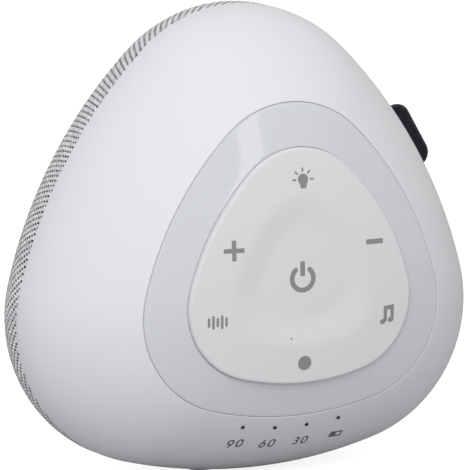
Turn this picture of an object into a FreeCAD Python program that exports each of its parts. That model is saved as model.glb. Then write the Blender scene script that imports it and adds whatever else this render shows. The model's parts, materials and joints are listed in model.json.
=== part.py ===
import FreeCAD, Part
import math
import os

import Sketcher

# Bedside white noise machine: a rounded triangular body that stands on a foot pad.
# The front faces -Y, +X is its right side seen from the front, +Z is up.
# The origin is on the underside of the foot pad, below the middle of the body.
# Depths are measured along Y from the widest section of the body, which lies at Y = 0.

# Driving sizes in millimetres, shares of the body outline where the name ends in share,
# and degrees where the name ends in angle.
SIZES = {
    # body outline: six tangent arcs, three round the corners and three along the sides
    "corner_centre": 23.24,
    "corner_radius": 31.76,
    "side_centre": 60.05,
    "centre_height": 46.65,
    # front shell
    "seam_depth": 3.2,
    "side_handle": 15.5,
    "lip_handle_depth": 25.5,
    "lip_handle_share": 0.80,
    "lip_depth": 30.6,
    "lip_share": 0.653,
    "shell_wall": 2.2,
    # night light ring
    "ring_inner_share": 0.488,
    "ring_inner_depth": 33.5,
    "ring_wall": 1.8,
    "ring_gap": 0.2,
    # keypad
    "pad_gap": 0.15,
    "pad_thickness": 3.85,
    "pad_ball_radius": 166.7,
    "pad_edge_round": 1.0,
    "dish_share": 0.29,
    "dish_depth": 0.9,
    "power_key_share": 0.25,
    "key_radius": 3.0,
    "key_gap": 0.12,
    "key_travel": 0.4,
    "nub_radius": 1.3,
    "nub_length": 1.0,
    "volume_key_x": 15.98,
    "volume_key_z": 6.55,
    "sound_key_x": 19.51,
    "sound_key_z": -8.53,
    "light_key_z": 20.5,
    "record_key_z": -17.96,
    "mic_hole_radius": 0.5,
    "mic_x": -3.09,
    "mic_z": -12.7,
    # switches under the keys
    "switch_size": 5.0,
    "switch_height": 2.0,
    "plunger_radius": 1.2,
    "plunger_length": 1.5,
    "plunger_play": 0.06,
    "plunger_proud": 0.8,
    "housing_floor": 0.2,
    # chassis that carries ring, keypad and boards
    "chassis_front": 23.0,
    "chassis_thickness": 1.6,
    "chassis_share": 0.735,
    "pedestal_share": 0.478,
    "pedestal_wall": 1.0,
    "ledge_width": 1.4,
    "ledge_depth": 27.6,
    "board_thickness": 1.2,
    "chassis_screw_reach": 38.6,
    "chassis_boss_radius": 2.4,
    "post_radius": 2.6,
    "main_board_front": 17.0,
    "main_board_width": 50.0,
    "main_board_height": 38.0,
    "main_board_thickness": 1.6,
    "board_screw_inset": 3.5,
    # indicator lights along the lower edge of the front
    "indicator_outer_x": 11.09,
    "indicator_outer_z": -31.9,
    "indicator_inner_x": 3.68,
    "indicator_inner_z": -32.67,
    "indicator_hole_radius": 0.5,
    "indicator_recess": 0.9,
    # back
    "back_depth": 20.7,
    "back_round": 20.3,
    "seam_angle": 9.0,
    "fabric_thickness": 1.0,
    "tongue_length": 2.2,
    "tongue_wall": 1.5,
    "tongue_gap": 0.3,
    "case_screw_reach": 44.0,
    "case_boss_radius": 3.4,
    "case_screw_radius": 1.25,
    "case_head_radius": 2.3,
    "case_floor": 3.0,
    "small_screw_radius": 0.9,
    "small_head_radius": 1.7,
    "screw_play": 0.08,
    "head_play": 0.3,
    # loudspeaker, which fires out through the fabric at the back
    "speaker_z": 6.0,
    "speaker_radius": 25.0,
    "cone_radius": 19.5,
    "surround_width": 2.6,
    "speaker_seat_play": 0.12,
    "coil_radius": 6.2,
    "coil_gap": 0.5,
    "magnet_radius": 16.0,
    "magnet_length": 6.0,
    "plate_thickness": 1.6,
    "gasket_thickness": 1.0,
    "flange_thickness": 1.2,
    "speaker_boss_radius": 2.2,
    "speaker_head_radius": 3.2,
    "grille_hole_radius": 1.1,
    "grille_pitch": 4.4,
    # battery
    "cell_radius": 9.2,
    "cell_length": 50.0,
    "cell_z": -29.0,
    "cell_play": 0.1,
    # charging port
    "port_z": -30.5,
    "port_width": 9.0,
    "port_height": 3.2,
    "port_length": 7.4,
    "port_recess": 0.8,
    # hang loop of woven tape
    "loop_angle": 30.0,
    "loop_width": 15.6,
    "loop_reach": 51.3,
    "loop_thickness": 2.7,
    "loop_eye_radius": 0.7,
    "loop_bar_radius": 1.5,
    "loop_bar_reach": 39.6,
    "loop_gap": 0.3,
    # foot pad
    "foot_width": 32.0,
    "foot_front": 6.0,
    "foot_back": 12.0,
}

doc = FreeCAD.newDocument("noise_machine")
sheet = doc.addObject("Spreadsheet::Sheet", "sizes")
for row, (alias, number) in enumerate(SIZES.items(), start=1):
    sheet.set("A%d" % row, alias)
    sheet.set("B%d" % row, str(number))
    sheet.setAlias("B%d" % row, alias)
doc.recompute()

# Distance from the centre of the outline to the middle of a side, and to a corner.
SIDE_REACH = (
    "(sqrt(sizes.corner_centre ^ 2 + sizes.side_centre ^ 2 + sizes.corner_centre * sizes.side_centre)"
    " + sizes.corner_radius - sizes.side_centre)"
)
FACE_FORWARD = FreeCAD.Rotation(FreeCAD.Vector(1, 0, 0), 90)
FACE_BACKWARD = FreeCAD.Rotation(FreeCAD.Vector(1, 0, 0), -90)
ALONG_X = FreeCAD.Rotation(FreeCAD.Vector(0, 1, 0), 90)
UPRIGHT = FreeCAD.Rotation()
SUBPARTS = []


def place(thing, across, depth, height, rotation=UPRIGHT):
    """Set a piece down at expressions for X, Y and the height above the body centre."""
    thing.Placement = FreeCAD.Placement(FreeCAD.Vector(0, 0, 0), rotation)
    thing.setExpression("Placement.Base.x", str(across))
    thing.setExpression("Placement.Base.y", str(depth))
    thing.setExpression("Placement.Base.z", "sizes.centre_height + (%s)" % height)
    return thing


def rod(name, radius, length, across, depth, height, rotation=FACE_BACKWARD):
    """Round bar; by default it starts at the given depth and runs towards the back."""
    bar = doc.addObject("Part::Cylinder", name)
    bar.setExpression("Radius", radius)
    bar.setExpression("Height", length)
    return place(bar, across, depth, height, rotation)


def block(name, width, length, height, across, depth, low, rotation=UPRIGHT):
    """Box centred in X on across, starting at depth and reaching height above low."""
    box = doc.addObject("Part::Box", name)
    box.setExpression("Length", width)
    box.setExpression("Width", length)
    box.setExpression("Height", height)
    return place(box, "%s - (%s) / 2" % (across, width), depth, low, rotation)


def taper(name, radius, end_radius, length, across, depth, height):
    """Cone that starts with radius at the given depth and runs towards the back."""
    cone = doc.addObject("Part::Cone", name)
    cone.setExpression("Radius1", radius)
    cone.setExpression("Radius2", end_radius)
    cone.setExpression("Height", length)
    return place(cone, across, depth, height, FACE_BACKWARD)


def minus(name, base, *tools):
    """Base with every tool cut away, one after the other."""
    for number, tool in enumerate(tools):
        last = number == len(tools) - 1
        cut = doc.addObject("Part::Cut", name if last else "%s_less_%d" % (name, number))
        cut.Base = base
        cut.Tool = tool
        base = cut
    return base


def joined(name, *pieces):
    """Pieces fused into one solid."""
    fuse = doc.addObject("Part::MultiFuse", name)
    fuse.Shapes = list(pieces)
    fuse.Refine = True
    return fuse


def shared(name, *pieces):
    """What all the pieces have in common."""
    common = doc.addObject("Part::MultiCommon", name)
    common.Shapes = list(pieces)
    return common


def group(name, *pieces):
    """Separate solids kept together as one piece."""
    compound = doc.addObject("Part::Compound", name)
    compound.Links = list(pieces)
    return compound


def keep(label, piece):
    """Name a finished piece; its label becomes its file name."""
    piece.Label = label
    SUBPARTS.append(piece)
    return piece


# Body outline, drawn once at full size and scaled for every section.

def corner_turn(number):
    return math.radians(90 + 120 * number)


def girth_outline():
    sketch = doc.addObject("Sketcher::SketchObject", "girth_outline")
    centre = SIZES["corner_centre"]
    radius = SIZES["corner_radius"]
    opposite = SIZES["side_centre"]
    side_radius = math.sqrt(centre ** 2 + opposite ** 2 + centre * opposite) + radius

    def arc(middle, size, first, last):
        start = math.atan2(first.y - middle.y, first.x - middle.x)
        end = math.atan2(last.y - middle.y, last.x - middle.x)
        if end < start:
            end += 2 * math.pi
        circle = Part.Circle(middle, FreeCAD.Vector(0, 0, 1), size)
        return Part.ArcOfCircle(circle, start, end)

    def polar(reach, turn):
        return FreeCAD.Vector(reach * math.cos(turn), reach * math.sin(turn), 0)

    for number in range(3):
        here = polar(centre, corner_turn(number))
        after = polar(centre, corner_turn(number + 1))
        side_before = polar(-opposite, corner_turn(number) - math.pi / 3)
        side_after = polar(-opposite, corner_turn(number) + math.pi / 3)
        start = here + (here - side_before)
        end = here + (here - side_after)
        sketch.addGeometry(arc(here, radius, start, end), False)
        start = here + (here - side_after)
        end = after + (after - side_after)
        sketch.addGeometry(arc(side_after, side_radius, start, end), False)

    def bind(constraint, expression):
        index = sketch.addConstraint(constraint)
        sketch.setExpression("Constraints[%d]" % index, expression)

    for number in range(3):
        corner = 2 * number
        side = corner + 1
        across = math.cos(corner_turn(number))
        upward = math.sin(corner_turn(number))
        bind(Sketcher.Constraint("DistanceX", -1, 1, corner, 3, centre * across),
             "sizes.corner_centre * %.12f" % across)
        bind(Sketcher.Constraint("DistanceY", -1, 1, corner, 3, centre * upward),
             "sizes.corner_centre * %.12f" % upward)
        bind(Sketcher.Constraint("Distance", -1, 1, side, 3, opposite), "sizes.side_centre")
        sketch.addConstraint(Sketcher.Constraint("Tangent", corner, 2, side, 1))
        sketch.addConstraint(Sketcher.Constraint("Tangent", side, 2, (side + 1) % 6, 1))
    bind(Sketcher.Constraint("Radius", 0, radius), "sizes.corner_radius")
    sketch.addConstraint(Sketcher.Constraint("Equal", 0, 2))
    sketch.addConstraint(Sketcher.Constraint("Equal", 0, 4))
    sketch.Placement = FreeCAD.Placement(FreeCAD.Vector(0, 0, 0), FACE_FORWARD)
    return sketch


OUTLINE = girth_outline()


def section(name, share, depth):
    """The outline at a share of its full size, at a depth along Y."""
    scaled = doc.addObject("Part::Scale", name)
    scaled.Base = OUTLINE
    scaled.Uniform = True
    scaled.setExpression("UniformScale", share)
    return place(scaled, "0", depth, "0", FACE_FORWARD)


def loft(name, stations):
    """Closed solid through sections given as (share, depth) pairs of expressions."""
    skin = doc.addObject("Part::Loft", name)
    skin.Sections = [
        section("%s_%d" % (name, number), share, depth)
        for number, (share, depth) in enumerate(stations)
    ]
    skin.Solid = True
    skin.Ruled = False
    return skin


def prism(name, share, front, back):
    """Straight block with the body outline between two depths."""
    return loft(name, [(share, front), (share, back)])


def bezier(share_handles, depth_handles, steps):
    """Stations along a cubic curve from the seam to the lip of the front shell."""
    stations = []
    for step in range(steps + 1):
        along = step / steps
        left = 1 - along
        weights = (left ** 3, 3 * left ** 2 * along, 3 * left * along ** 2, along ** 3)
        share = " + ".join("%.9f * (%s)" % pair for pair in zip(weights, share_handles))
        depth = " + ".join("%.9f * (%s)" % pair for pair in zip(weights, depth_handles))
        stations.append((share, "-(%s)" % depth))
    return stations


def inset(distance):
    """A distance as a share of the outline."""
    return "(%s) / %s" % (distance, SIDE_REACH)


# Front shell

front_outer = loft("front_outer", bezier(
    ("1", "1", "sizes.lip_handle_share", "sizes.lip_share"),
    ("sizes.seam_depth", "sizes.side_handle", "sizes.lip_handle_depth", "sizes.lip_depth"),
    6))
SHELL_INSET = inset("sizes.shell_wall")
front_inner = loft("front_inner", bezier(
    ("1 - " + SHELL_INSET, "1 - " + SHELL_INSET,
     "sizes.lip_handle_share - 0.7 * " + SHELL_INSET, "sizes.lip_share - 0.6 * " + SHELL_INSET),
    ("sizes.seam_depth", "sizes.side_handle - 0.4 * sizes.shell_wall",
     "sizes.lip_handle_depth - 0.8 * sizes.shell_wall", "sizes.lip_depth - sizes.shell_wall"),
    6))
# Depths of the keypad, stacked up from the ledge that carries its board
PLUNGER_FRONT = "(sizes.ledge_depth + sizes.board_thickness + sizes.switch_height + sizes.plunger_proud)"
PAD_BACK = "(%s + sizes.nub_length)" % PLUNGER_FRONT
PAD_PEAK = "(%s + sizes.pad_thickness)" % PAD_BACK
ring_opening = prism("ring_opening", "sizes.lip_share", "-" + PAD_PEAK, "-sizes.chassis_front + 2")
front_skin = minus("front_skin", front_outer, front_inner, ring_opening)

CASE_POINTS = []
CHASSIS_POINTS = []
for corner in range(3):
    across = math.cos(corner_turn(corner))
    upward = math.sin(corner_turn(corner))
    CASE_POINTS.append(("sizes.case_screw_reach * %.9f" % across, "sizes.case_screw_reach * %.9f" % upward))
    CHASSIS_POINTS.append(
        ("sizes.chassis_screw_reach * %.9f" % across, "sizes.chassis_screw_reach * %.9f" % upward))

BOSS_FRONT = "-sizes.side_handle - 5"
case_bosses = [
    rod("case_boss_%d" % number, "sizes.case_boss_radius", "sizes.side_handle + 5", x, BOSS_FRONT, z)
    for number, (x, z) in enumerate(CASE_POINTS)]
chassis_bosses = [
    rod("chassis_boss_%d" % number, "sizes.chassis_boss_radius", "6", x, "-sizes.chassis_front - 6", z)
    for number, (x, z) in enumerate(CHASSIS_POINTS)]
front_bosses = shared(
    "front_bosses", joined("front_boss_rods", *case_bosses, *chassis_bosses),
    joined("front_boss_room", front_outer, prism("front_boss_back", "1 - " + SHELL_INSET,
                                                 "-sizes.seam_depth - 0.01", "0")))
case_pilots = [
    rod("case_pilot_%d" % number, "sizes.case_screw_radius + sizes.screw_play", "12", x, "-11.9", z)
    for number, (x, z) in enumerate(CASE_POINTS)]
chassis_pilots = [
    rod("chassis_pilot_%d" % number, "sizes.small_screw_radius + sizes.screw_play", "2.6",
        x, "-sizes.chassis_front - 2.6", z)
    for number, (x, z) in enumerate(CHASSIS_POINTS)]
INDICATORS = [
    ("-sizes.indicator_outer_x", "sizes.indicator_outer_z"),
    ("-sizes.indicator_inner_x", "sizes.indicator_inner_z"),
    ("sizes.indicator_inner_x", "sizes.indicator_inner_z"),
    ("sizes.indicator_outer_x", "sizes.indicator_outer_z"),
]
indicator_holes = [
    rod("indicator_hole_%d" % number, "sizes.indicator_hole_radius", "8", x, "-sizes.lip_depth - 1", z)
    for number, (x, z) in enumerate(INDICATORS)]
keep("front_shell", minus(
    "front_shell", joined("front_solid", front_skin, front_bosses),
    group("front_pilots", *case_pilots, *chassis_pilots), group("indicator_holes", *indicator_holes)))

# Night light ring, a domed band of translucent plastic with a skirt down to the chassis

ring_dome = loft("ring_dome", [
    ("sizes.lip_share + 0.08", "-sizes.lip_depth + 2.1"),
    ("sizes.lip_share", "-sizes.lip_depth"),
    ("(sizes.lip_share + sizes.ring_inner_share) / 2",
     "-(sizes.lip_depth + sizes.ring_inner_depth) / 2 - 0.25"),
    ("sizes.ring_inner_share", "-sizes.ring_inner_depth"),
    ("sizes.ring_inner_share - 0.08", "-sizes.ring_inner_depth - 0.9"),
])
ring_dome_base = prism("ring_dome_base", "sizes.lip_share", "-sizes.lip_depth + 2", "-sizes.chassis_front")
ring_room = loft("ring_room", [
    ("sizes.lip_share + 0.08", "-sizes.lip_depth + 2.1 + sizes.ring_wall"),
    ("sizes.lip_share", "-sizes.lip_depth + sizes.ring_wall"),
    ("(sizes.lip_share + sizes.ring_inner_share) / 2",
     "-(sizes.lip_depth + sizes.ring_inner_depth) / 2 - 0.25 + sizes.ring_wall"),
    ("sizes.ring_inner_share", "-sizes.ring_inner_depth + sizes.ring_wall"),
    ("sizes.ring_inner_share - 0.08", "-sizes.ring_inner_depth - 0.9 + sizes.ring_wall"),
])
RING_OUTER = "sizes.lip_share - " + inset("sizes.ring_gap")
RING_INNER = "sizes.ring_inner_share"
ring_block = shared(
    "ring_block", joined("ring_solid", ring_dome, ring_dome_base),
    prism("ring_limit", RING_OUTER, "-" + PAD_PEAK, "-sizes.chassis_front"))
ring_hollow = shared(
    "ring_hollow",
    joined("ring_room_solid", ring_room,
           prism("ring_room_base", "sizes.lip_share", "-sizes.lip_depth + 2 + sizes.ring_wall",
                 "-sizes.chassis_front")),
    prism("ring_room_limit", RING_OUTER + " - " + inset("sizes.ring_wall"),
          "-" + PAD_PEAK, "-sizes.chassis_front"))
keep("light_ring", minus(
    "light_ring", ring_block, ring_hollow,
    prism("ring_bore", RING_INNER, "-" + PAD_PEAK + " - 1", "-sizes.chassis_front + 1")))

# Keypad: a domed silicone pad, split into seven keys and the skin between them

PAD_SHARE = "sizes.ring_inner_share - " + inset("sizes.pad_gap")
pad_ball = doc.addObject("Part::Sphere", "pad_ball")
pad_ball.setExpression("Radius", "sizes.pad_ball_radius")
place(pad_ball, "0", "-" + PAD_PEAK + " + sizes.pad_ball_radius", "0")
pad_slab = shared(
    "pad_slab", pad_ball, prism("pad_limit", PAD_SHARE, "-" + PAD_PEAK + " - 1", "-" + PAD_BACK))
doc.recompute()
pad_dome = doc.addObject("Part::Fillet", "pad_dome")
pad_dome.Base = pad_slab
pad_dome.Edges = [
    (number, SIZES["pad_edge_round"], SIZES["pad_edge_round"])
    for number, edge in enumerate(pad_slab.Shape.Edges, start=1)
    if edge.BoundBox.YMax < pad_slab.Shape.BoundBox.YMax - 0.5]
dish = loft("dish", [
    ("sizes.dish_share + 0.08", "-" + PAD_PEAK + " - 0.8"),
    ("sizes.dish_share", "-" + PAD_PEAK + " + (sizes.dish_share * sizes.corner_radius * 1.55) ^ 2"
                         " / (2 * sizes.pad_ball_radius)"),
    ("sizes.dish_share - 0.06", "-" + PAD_PEAK + " + 0.88 * sizes.dish_depth"),
    ("0.03", "-" + PAD_PEAK + " + sizes.dish_depth"),
])
dish.Ruled = True
pad_form = minus("pad_form", pad_dome, dish)

KEYS = {
    "volume_down_key": ("sizes.volume_key_x", "sizes.volume_key_z"),
    "volume_up_key": ("-sizes.volume_key_x", "sizes.volume_key_z"),
    "white_noise_key": ("-sizes.sound_key_x", "sizes.sound_key_z"),
    "lullaby_key": ("sizes.sound_key_x", "sizes.sound_key_z"),
    "night_light_key": ("0", "sizes.light_key_z"),
    "record_key": ("0", "sizes.record_key_z"),
}
PAD_THICKNESS = "sizes.pad_thickness + 1"


def nub(name, x, z):
    """Stub behind a key that rests on its switch plunger."""
    return rod(name + "_nub", "sizes.nub_radius", "sizes.nub_length + 0.5", x, "-" + PAD_BACK + " - 0.5", z)


pad_windows = []
power_window = (prism("power_window", "sizes.power_key_share + " + inset("sizes.key_gap"),
                      "-" + PAD_PEAK + " - 1", "-" + PAD_BACK + " + 1"))
for name, (x, z) in KEYS.items():
    cap = shared(name + "_cap", pad_form, rod(
        name + "_disc", "sizes.key_radius", PAD_THICKNESS, x, "-" + PAD_PEAK + " - 1", z))
    keep(name, joined(name, cap, nub(name, x, z)))
    pad_windows.append(rod(
        name + "_window", "sizes.key_radius + sizes.key_gap", PAD_THICKNESS + " + 1",
        x, "-" + PAD_PEAK + " - 1", z))
power_cap = shared("power_cap", pad_form, prism(
    "power_disc", "sizes.power_key_share", "-" + PAD_PEAK + " - 1", "-" + PAD_BACK))
keep("power_key", joined("power_key", power_cap, nub("power_key", "0", "0")))
mic_hole = rod("mic_hole", "sizes.mic_hole_radius", PAD_THICKNESS + " + 1",
               "sizes.mic_x", "-" + PAD_PEAK + " - 1", "sizes.mic_z")
keep("keypad_skin", minus(
    "keypad_skin", pad_form, power_window, group("pad_windows", *pad_windows, mic_hole)))

# Tactile switches on the key board: seven housings and a plunger under each key

ALL_KEYS = dict(KEYS, power_key=("0", "0"))
BOARD_FACE = "-sizes.ledge_depth - sizes.board_thickness"
housings = []
for name, (x, z) in ALL_KEYS.items():
    shaft = name.replace("_key", "_plunger")
    case = block(name + "_housing", "sizes.switch_size", "sizes.switch_height", "sizes.switch_size",
                 x, BOARD_FACE + " - sizes.switch_height", z + " - sizes.switch_size / 2")
    bore = rod(name + "_bore", "sizes.plunger_radius + sizes.plunger_play",
               "sizes.plunger_length - sizes.plunger_proud + sizes.key_travel + sizes.housing_floor + 1", x,
               BOARD_FACE + " - sizes.switch_height - 1", z)
    housings.append(minus(name + "_switch", case, bore))
    keep(shaft, rod(shaft, "sizes.plunger_radius", "sizes.plunger_length",
                    x, "-" + PLUNGER_FRONT, z))
keep("switch_housings", group("switch_housings", *housings))

# Boards of the keypad

LEDGE_SHARE = "sizes.pedestal_share - " + inset("sizes.pedestal_wall")
keep("key_board", prism("key_board", LEDGE_SHARE + " - " + inset("0.2"), BOARD_FACE, "-sizes.ledge_depth"))
keep("microphone", rod("microphone", "2", "1.6", "sizes.mic_x", BOARD_FACE + " - 1.6", "sizes.mic_z"))

# Chassis: plate, pedestal for keypad and key board, and posts for the main board

CHASSIS_BACK = "-sizes.chassis_front + sizes.chassis_thickness"
plate = prism("chassis_plate", "sizes.chassis_share", "-sizes.chassis_front", CHASSIS_BACK)
pedestal = prism("pedestal", "sizes.pedestal_share", "-" + PAD_BACK, CHASSIS_BACK)
pedestal_pocket = prism("pedestal_pocket", LEDGE_SHARE, "-" + PAD_BACK + " - 1", "-sizes.ledge_depth")
pedestal_bore = prism("pedestal_bore", LEDGE_SHARE + " - " + inset("sizes.ledge_width"),
                      "-" + PAD_BACK + " - 1", "-10")
POST_LENGTH = "sizes.chassis_front - sizes.main_board_front"
MAIN_POINTS = [
    ("%s * (sizes.main_board_width / 2 - sizes.board_screw_inset)" % side,
     "%s * (sizes.main_board_height / 2 - sizes.board_screw_inset)" % level)
    for side in (-1, 1) for level in (-1, 1)]
posts = [
    rod("main_post_%d" % number, "sizes.post_radius", POST_LENGTH, x, "-sizes.chassis_front", z)
    for number, (x, z) in enumerate(MAIN_POINTS)]
post_pilots = [
    rod("post_pilot_%d" % number, "sizes.small_screw_radius + sizes.screw_play", "6.5",
        x, "-sizes.main_board_front - 4.5", z)
    for number, (x, z) in enumerate(MAIN_POINTS)]
chassis_holes = [
    rod("chassis_hole_%d" % number, "sizes.small_screw_radius + sizes.head_play", "8",
        x, "-sizes.chassis_front - 1", z)
    for number, (x, z) in enumerate(CHASSIS_POINTS)]
keep("chassis", minus(
    "chassis", joined("chassis_solid", plate, pedestal, *posts),
    pedestal_pocket, pedestal_bore, group("chassis_drillings", *post_pilots, *chassis_holes)))

# Light board with twelve lamps under the ring

keep("ring_board", minus(
    "ring_board",
    prism("ring_board_outer", "sizes.lip_share - " + inset("sizes.ring_wall + sizes.ring_gap + 0.4"),
          "-sizes.chassis_front - 1", "-sizes.chassis_front"),
    prism("ring_board_inner", "sizes.pedestal_share + " + inset("0.3"),
          "-sizes.chassis_front - 2", "-sizes.chassis_front + 1")))


def outline_reach(turn):
    """Distance from the centre to the full outline in a direction, in millimetres."""
    centre = SIZES["corner_centre"]
    opposite = SIZES["side_centre"]
    side_radius = math.sqrt(centre ** 2 + opposite ** 2 + centre * opposite) + SIZES["corner_radius"]
    nearest = min(range(3), key=lambda number: math.cos(turn - corner_turn(number)))
    off_axis = turn - corner_turn(nearest)
    return opposite * math.cos(off_axis) + math.sqrt(
        side_radius ** 2 - (opposite * math.sin(off_axis)) ** 2)


LAMP_COUNT = 12
lamps = []
for number in range(LAMP_COUNT):
    turn = 2 * math.pi * (number + 0.5) / LAMP_COUNT
    reach = outline_reach(turn)
    middle = "(sizes.lip_share + sizes.ring_inner_share) / 2"
    lamps.append(block(
        "ring_lamp_%d" % number, "2.2", "1.2", "1.8",
        "%.6f * %s" % (reach * math.cos(turn), middle), "-sizes.chassis_front - 2.2",
        "%.6f * %s - 0.9" % (reach * math.sin(turn), middle)))
keep("ring_lamps", group("ring_lamps", *lamps))

# Indicator board with four small lamps and their light pipes

keep("indicator_board", block(
    "indicator_board", "2 * sizes.indicator_outer_x + 2.4", "0.8", "2.5",
    "0", "-sizes.chassis_front - 0.8", "sizes.indicator_outer_z - 1.2"))
indicator_lamps = []
light_pipes = []
for number, (x, z) in enumerate(INDICATORS):
    indicator_lamps.append(block("indicator_lamp_%d" % number, "1.6", "0.6", "0.8",
                                 x, "-sizes.chassis_front - 1.4", z + " - 0.4"))
    light_pipes.append(rod(
        "light_pipe_%d" % number, "sizes.indicator_hole_radius - 0.05",
        "sizes.lip_depth - sizes.indicator_recess - 1.2 - sizes.chassis_front - 1.4",
        x, "-sizes.lip_depth + sizes.indicator_recess + 1.2", z))
keep("indicator_lamps", group("indicator_lamps", *indicator_lamps))
keep("indicator_pipes", group("indicator_pipes", *light_pipes))

# Main board, its parts and the pin header to the key board

MAIN_BACK = "-sizes.main_board_front + sizes.main_board_thickness"
main_sheet = block("main_sheet", "sizes.main_board_width", "sizes.main_board_thickness",
                   "sizes.main_board_height", "0", "-sizes.main_board_front",
                   "-sizes.main_board_height / 2")
main_holes = [
    rod("main_hole_%d" % number, "sizes.small_screw_radius + sizes.head_play", "4",
        x, "-sizes.main_board_front - 1", z)
    for number, (x, z) in enumerate(MAIN_POINTS)]
keep("main_board", minus("main_board", main_sheet, group("main_holes", *main_holes)))
CHIPS = [("-10", "4", "7", "1"), ("4", "6", "5", "1"), ("12", "-8", "4", "0.8"), ("-8", "-9", "6", "1.2")]
chips = [
    block("chip_%d" % number, size, height, size, x, MAIN_BACK, z + " - %s / 2" % size)
    for number, (x, z, size, height) in enumerate(CHIPS)]
cans = [rod("can_%d" % number, "2.5", "5.4", x, MAIN_BACK, "-2") for number, x in enumerate(("15", "-18"))]
sockets = [block("socket_%d" % number, "6", "4.5", "3.5", x, MAIN_BACK, "-18.5")
           for number, x in enumerate(("-8", "8"))]
keep("main_board_parts", group("main_board_parts", *chips, *cans, *sockets))
keep("board_header", block(
    "board_header", "14", "sizes.ledge_depth - sizes.main_board_front", "2.5",
    "0", "-sizes.ledge_depth", "8"))

# Back case and the fabric stretched over it


def back_stations(offset):
    """Stations from the seam round to the flat back, set in from the fabric by offset."""
    stations = []
    for angle in (-1, 0, 14, 28, 42, 56, 69, 80, 90):
        turn = "sizes.seam_angle * -1" if angle < 0 else str(angle)
        share = "1 - (sizes.back_round * (1 - cos(%s deg)) + (%s) * cos(%s deg)) / %s" % (
            turn, offset, turn, SIDE_REACH)
        depth = "(sizes.back_depth - (%s)) * sin(%s deg)" % (offset, turn)
        if angle < 0:
            share = share.replace("%s deg" % turn, "sizes.seam_angle * 1 deg")
            depth = "-sizes.seam_depth"
        stations.append((share, depth))
    return stations


fabric_outer = loft("fabric_outer", back_stations("0"))
back_outer = loft("back_outer", back_stations("sizes.fabric_thickness"))
BACK_OFFSET = "sizes.fabric_thickness + sizes.shell_wall"
back_inner = loft("back_inner", back_stations(BACK_OFFSET))
BACK_SKIN = "sizes.back_depth - sizes.fabric_thickness"
BACK_WALL = "sizes.back_depth - " + BACK_OFFSET.replace(" + ", " - ")

TONGUE_OUTER = "1 - " + inset("sizes.shell_wall + sizes.tongue_gap")
tongue = minus(
    "tongue",
    prism("tongue_outer", TONGUE_OUTER, "-sizes.seam_depth - sizes.tongue_length", "2"),
    prism("tongue_inner", TONGUE_OUTER + " - " + inset("sizes.tongue_wall"),
          "-sizes.seam_depth - sizes.tongue_length - 1", "3"))
back_posts = shared(
    "back_posts", joined("back_post_rods", *[
        rod("back_post_%d" % number, "sizes.case_boss_radius", "sizes.back_depth", x, "0", z)
        for number, (x, z) in enumerate(CASE_POINTS)]),
    back_outer)
back_counterbores = [
    rod("back_counterbore_%d" % number, "sizes.case_head_radius + sizes.head_play", "sizes.back_depth",
        x, "sizes.case_floor", z)
    for number, (x, z) in enumerate(CASE_POINTS)]
back_screw_holes = [
    rod("back_screw_hole_%d" % number, "sizes.case_screw_radius + sizes.head_play", "8", x, "-1", z)
    for number, (x, z) in enumerate(CASE_POINTS)]

grille_holes = []
GRILLE_ROWS = int(SIZES["cone_radius"] / SIZES["grille_pitch"])
for row in range(-GRILLE_ROWS, GRILLE_ROWS + 1):
    for column in range(-GRILLE_ROWS, GRILLE_ROWS + 1):
        right = (column + row / 2) * SIZES["grille_pitch"]
        rise = row * SIZES["grille_pitch"] * math.sqrt(3) / 2
        if math.hypot(right, rise) > SIZES["cone_radius"]:
            continue
        grille_holes.append(rod(
            "grille_hole_%d" % len(grille_holes), "sizes.grille_hole_radius",
            "sizes.shell_wall + 2", "sizes.grille_pitch * %.6f" % (right / SIZES["grille_pitch"]),
            "%s - 1" % BACK_WALL,
            "sizes.speaker_z + sizes.grille_pitch * %.6f" % (rise / SIZES["grille_pitch"])))

# Bosses for the loudspeaker's four screws
SPEAKER_SEAT = (
    BACK_WALL + " - sizes.gasket_thickness - sizes.speaker_seat_play - sizes.flange_thickness")
SPEAKER_POINTS = [
    ("%.9f * (sizes.speaker_radius + sizes.speaker_boss_radius + 0.2)" % math.cos(math.radians(turn)),
     "sizes.speaker_z + %.9f * (sizes.speaker_radius + sizes.speaker_boss_radius + 0.2)"
     % math.sin(math.radians(turn)))
    for turn in (40, 140, 220, 320)]
speaker_bosses = [
    rod("speaker_boss_%d" % number, "sizes.speaker_boss_radius",
        "sizes.gasket_thickness + sizes.speaker_seat_play + sizes.flange_thickness + 1", x, SPEAKER_SEAT, z)
    for number, (x, z) in enumerate(SPEAKER_POINTS)]
speaker_pilots = [
    rod("speaker_pilot_%d" % number, "sizes.small_screw_radius + sizes.screw_play", "4.6",
        x, SPEAKER_SEAT + " - 1", z)
    for number, (x, z) in enumerate(SPEAKER_POINTS)]

# Shelf for the charging port and the window it looks out of
PORT_BACK = "sizes.back_depth - sizes.port_recess"
PORT_FRONT = PORT_BACK + " - sizes.port_length"
SHELF_TOP = "sizes.port_z - sizes.port_height / 2 - 1"
port_shelf = shared("port_shelf", block(
    "port_shelf_block", "18", "sizes.port_length + 4", "1.8",
    "0", PORT_FRONT + " - 2", SHELF_TOP + " - 1.8"), back_outer)
port_window = block(
    "port_window", "sizes.port_width + 3", "9", "sizes.port_height + 3",
    "0", BACK_WALL + " - 2.6", "sizes.port_z - sizes.port_height / 2 - 1.5")

LOOP_TURN = FreeCAD.Rotation(FreeCAD.Vector(0, -1, 0), SIZES["loop_angle"])
LOOP_DEPTH = "-sizes.seam_depth + sizes.loop_gap"


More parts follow.
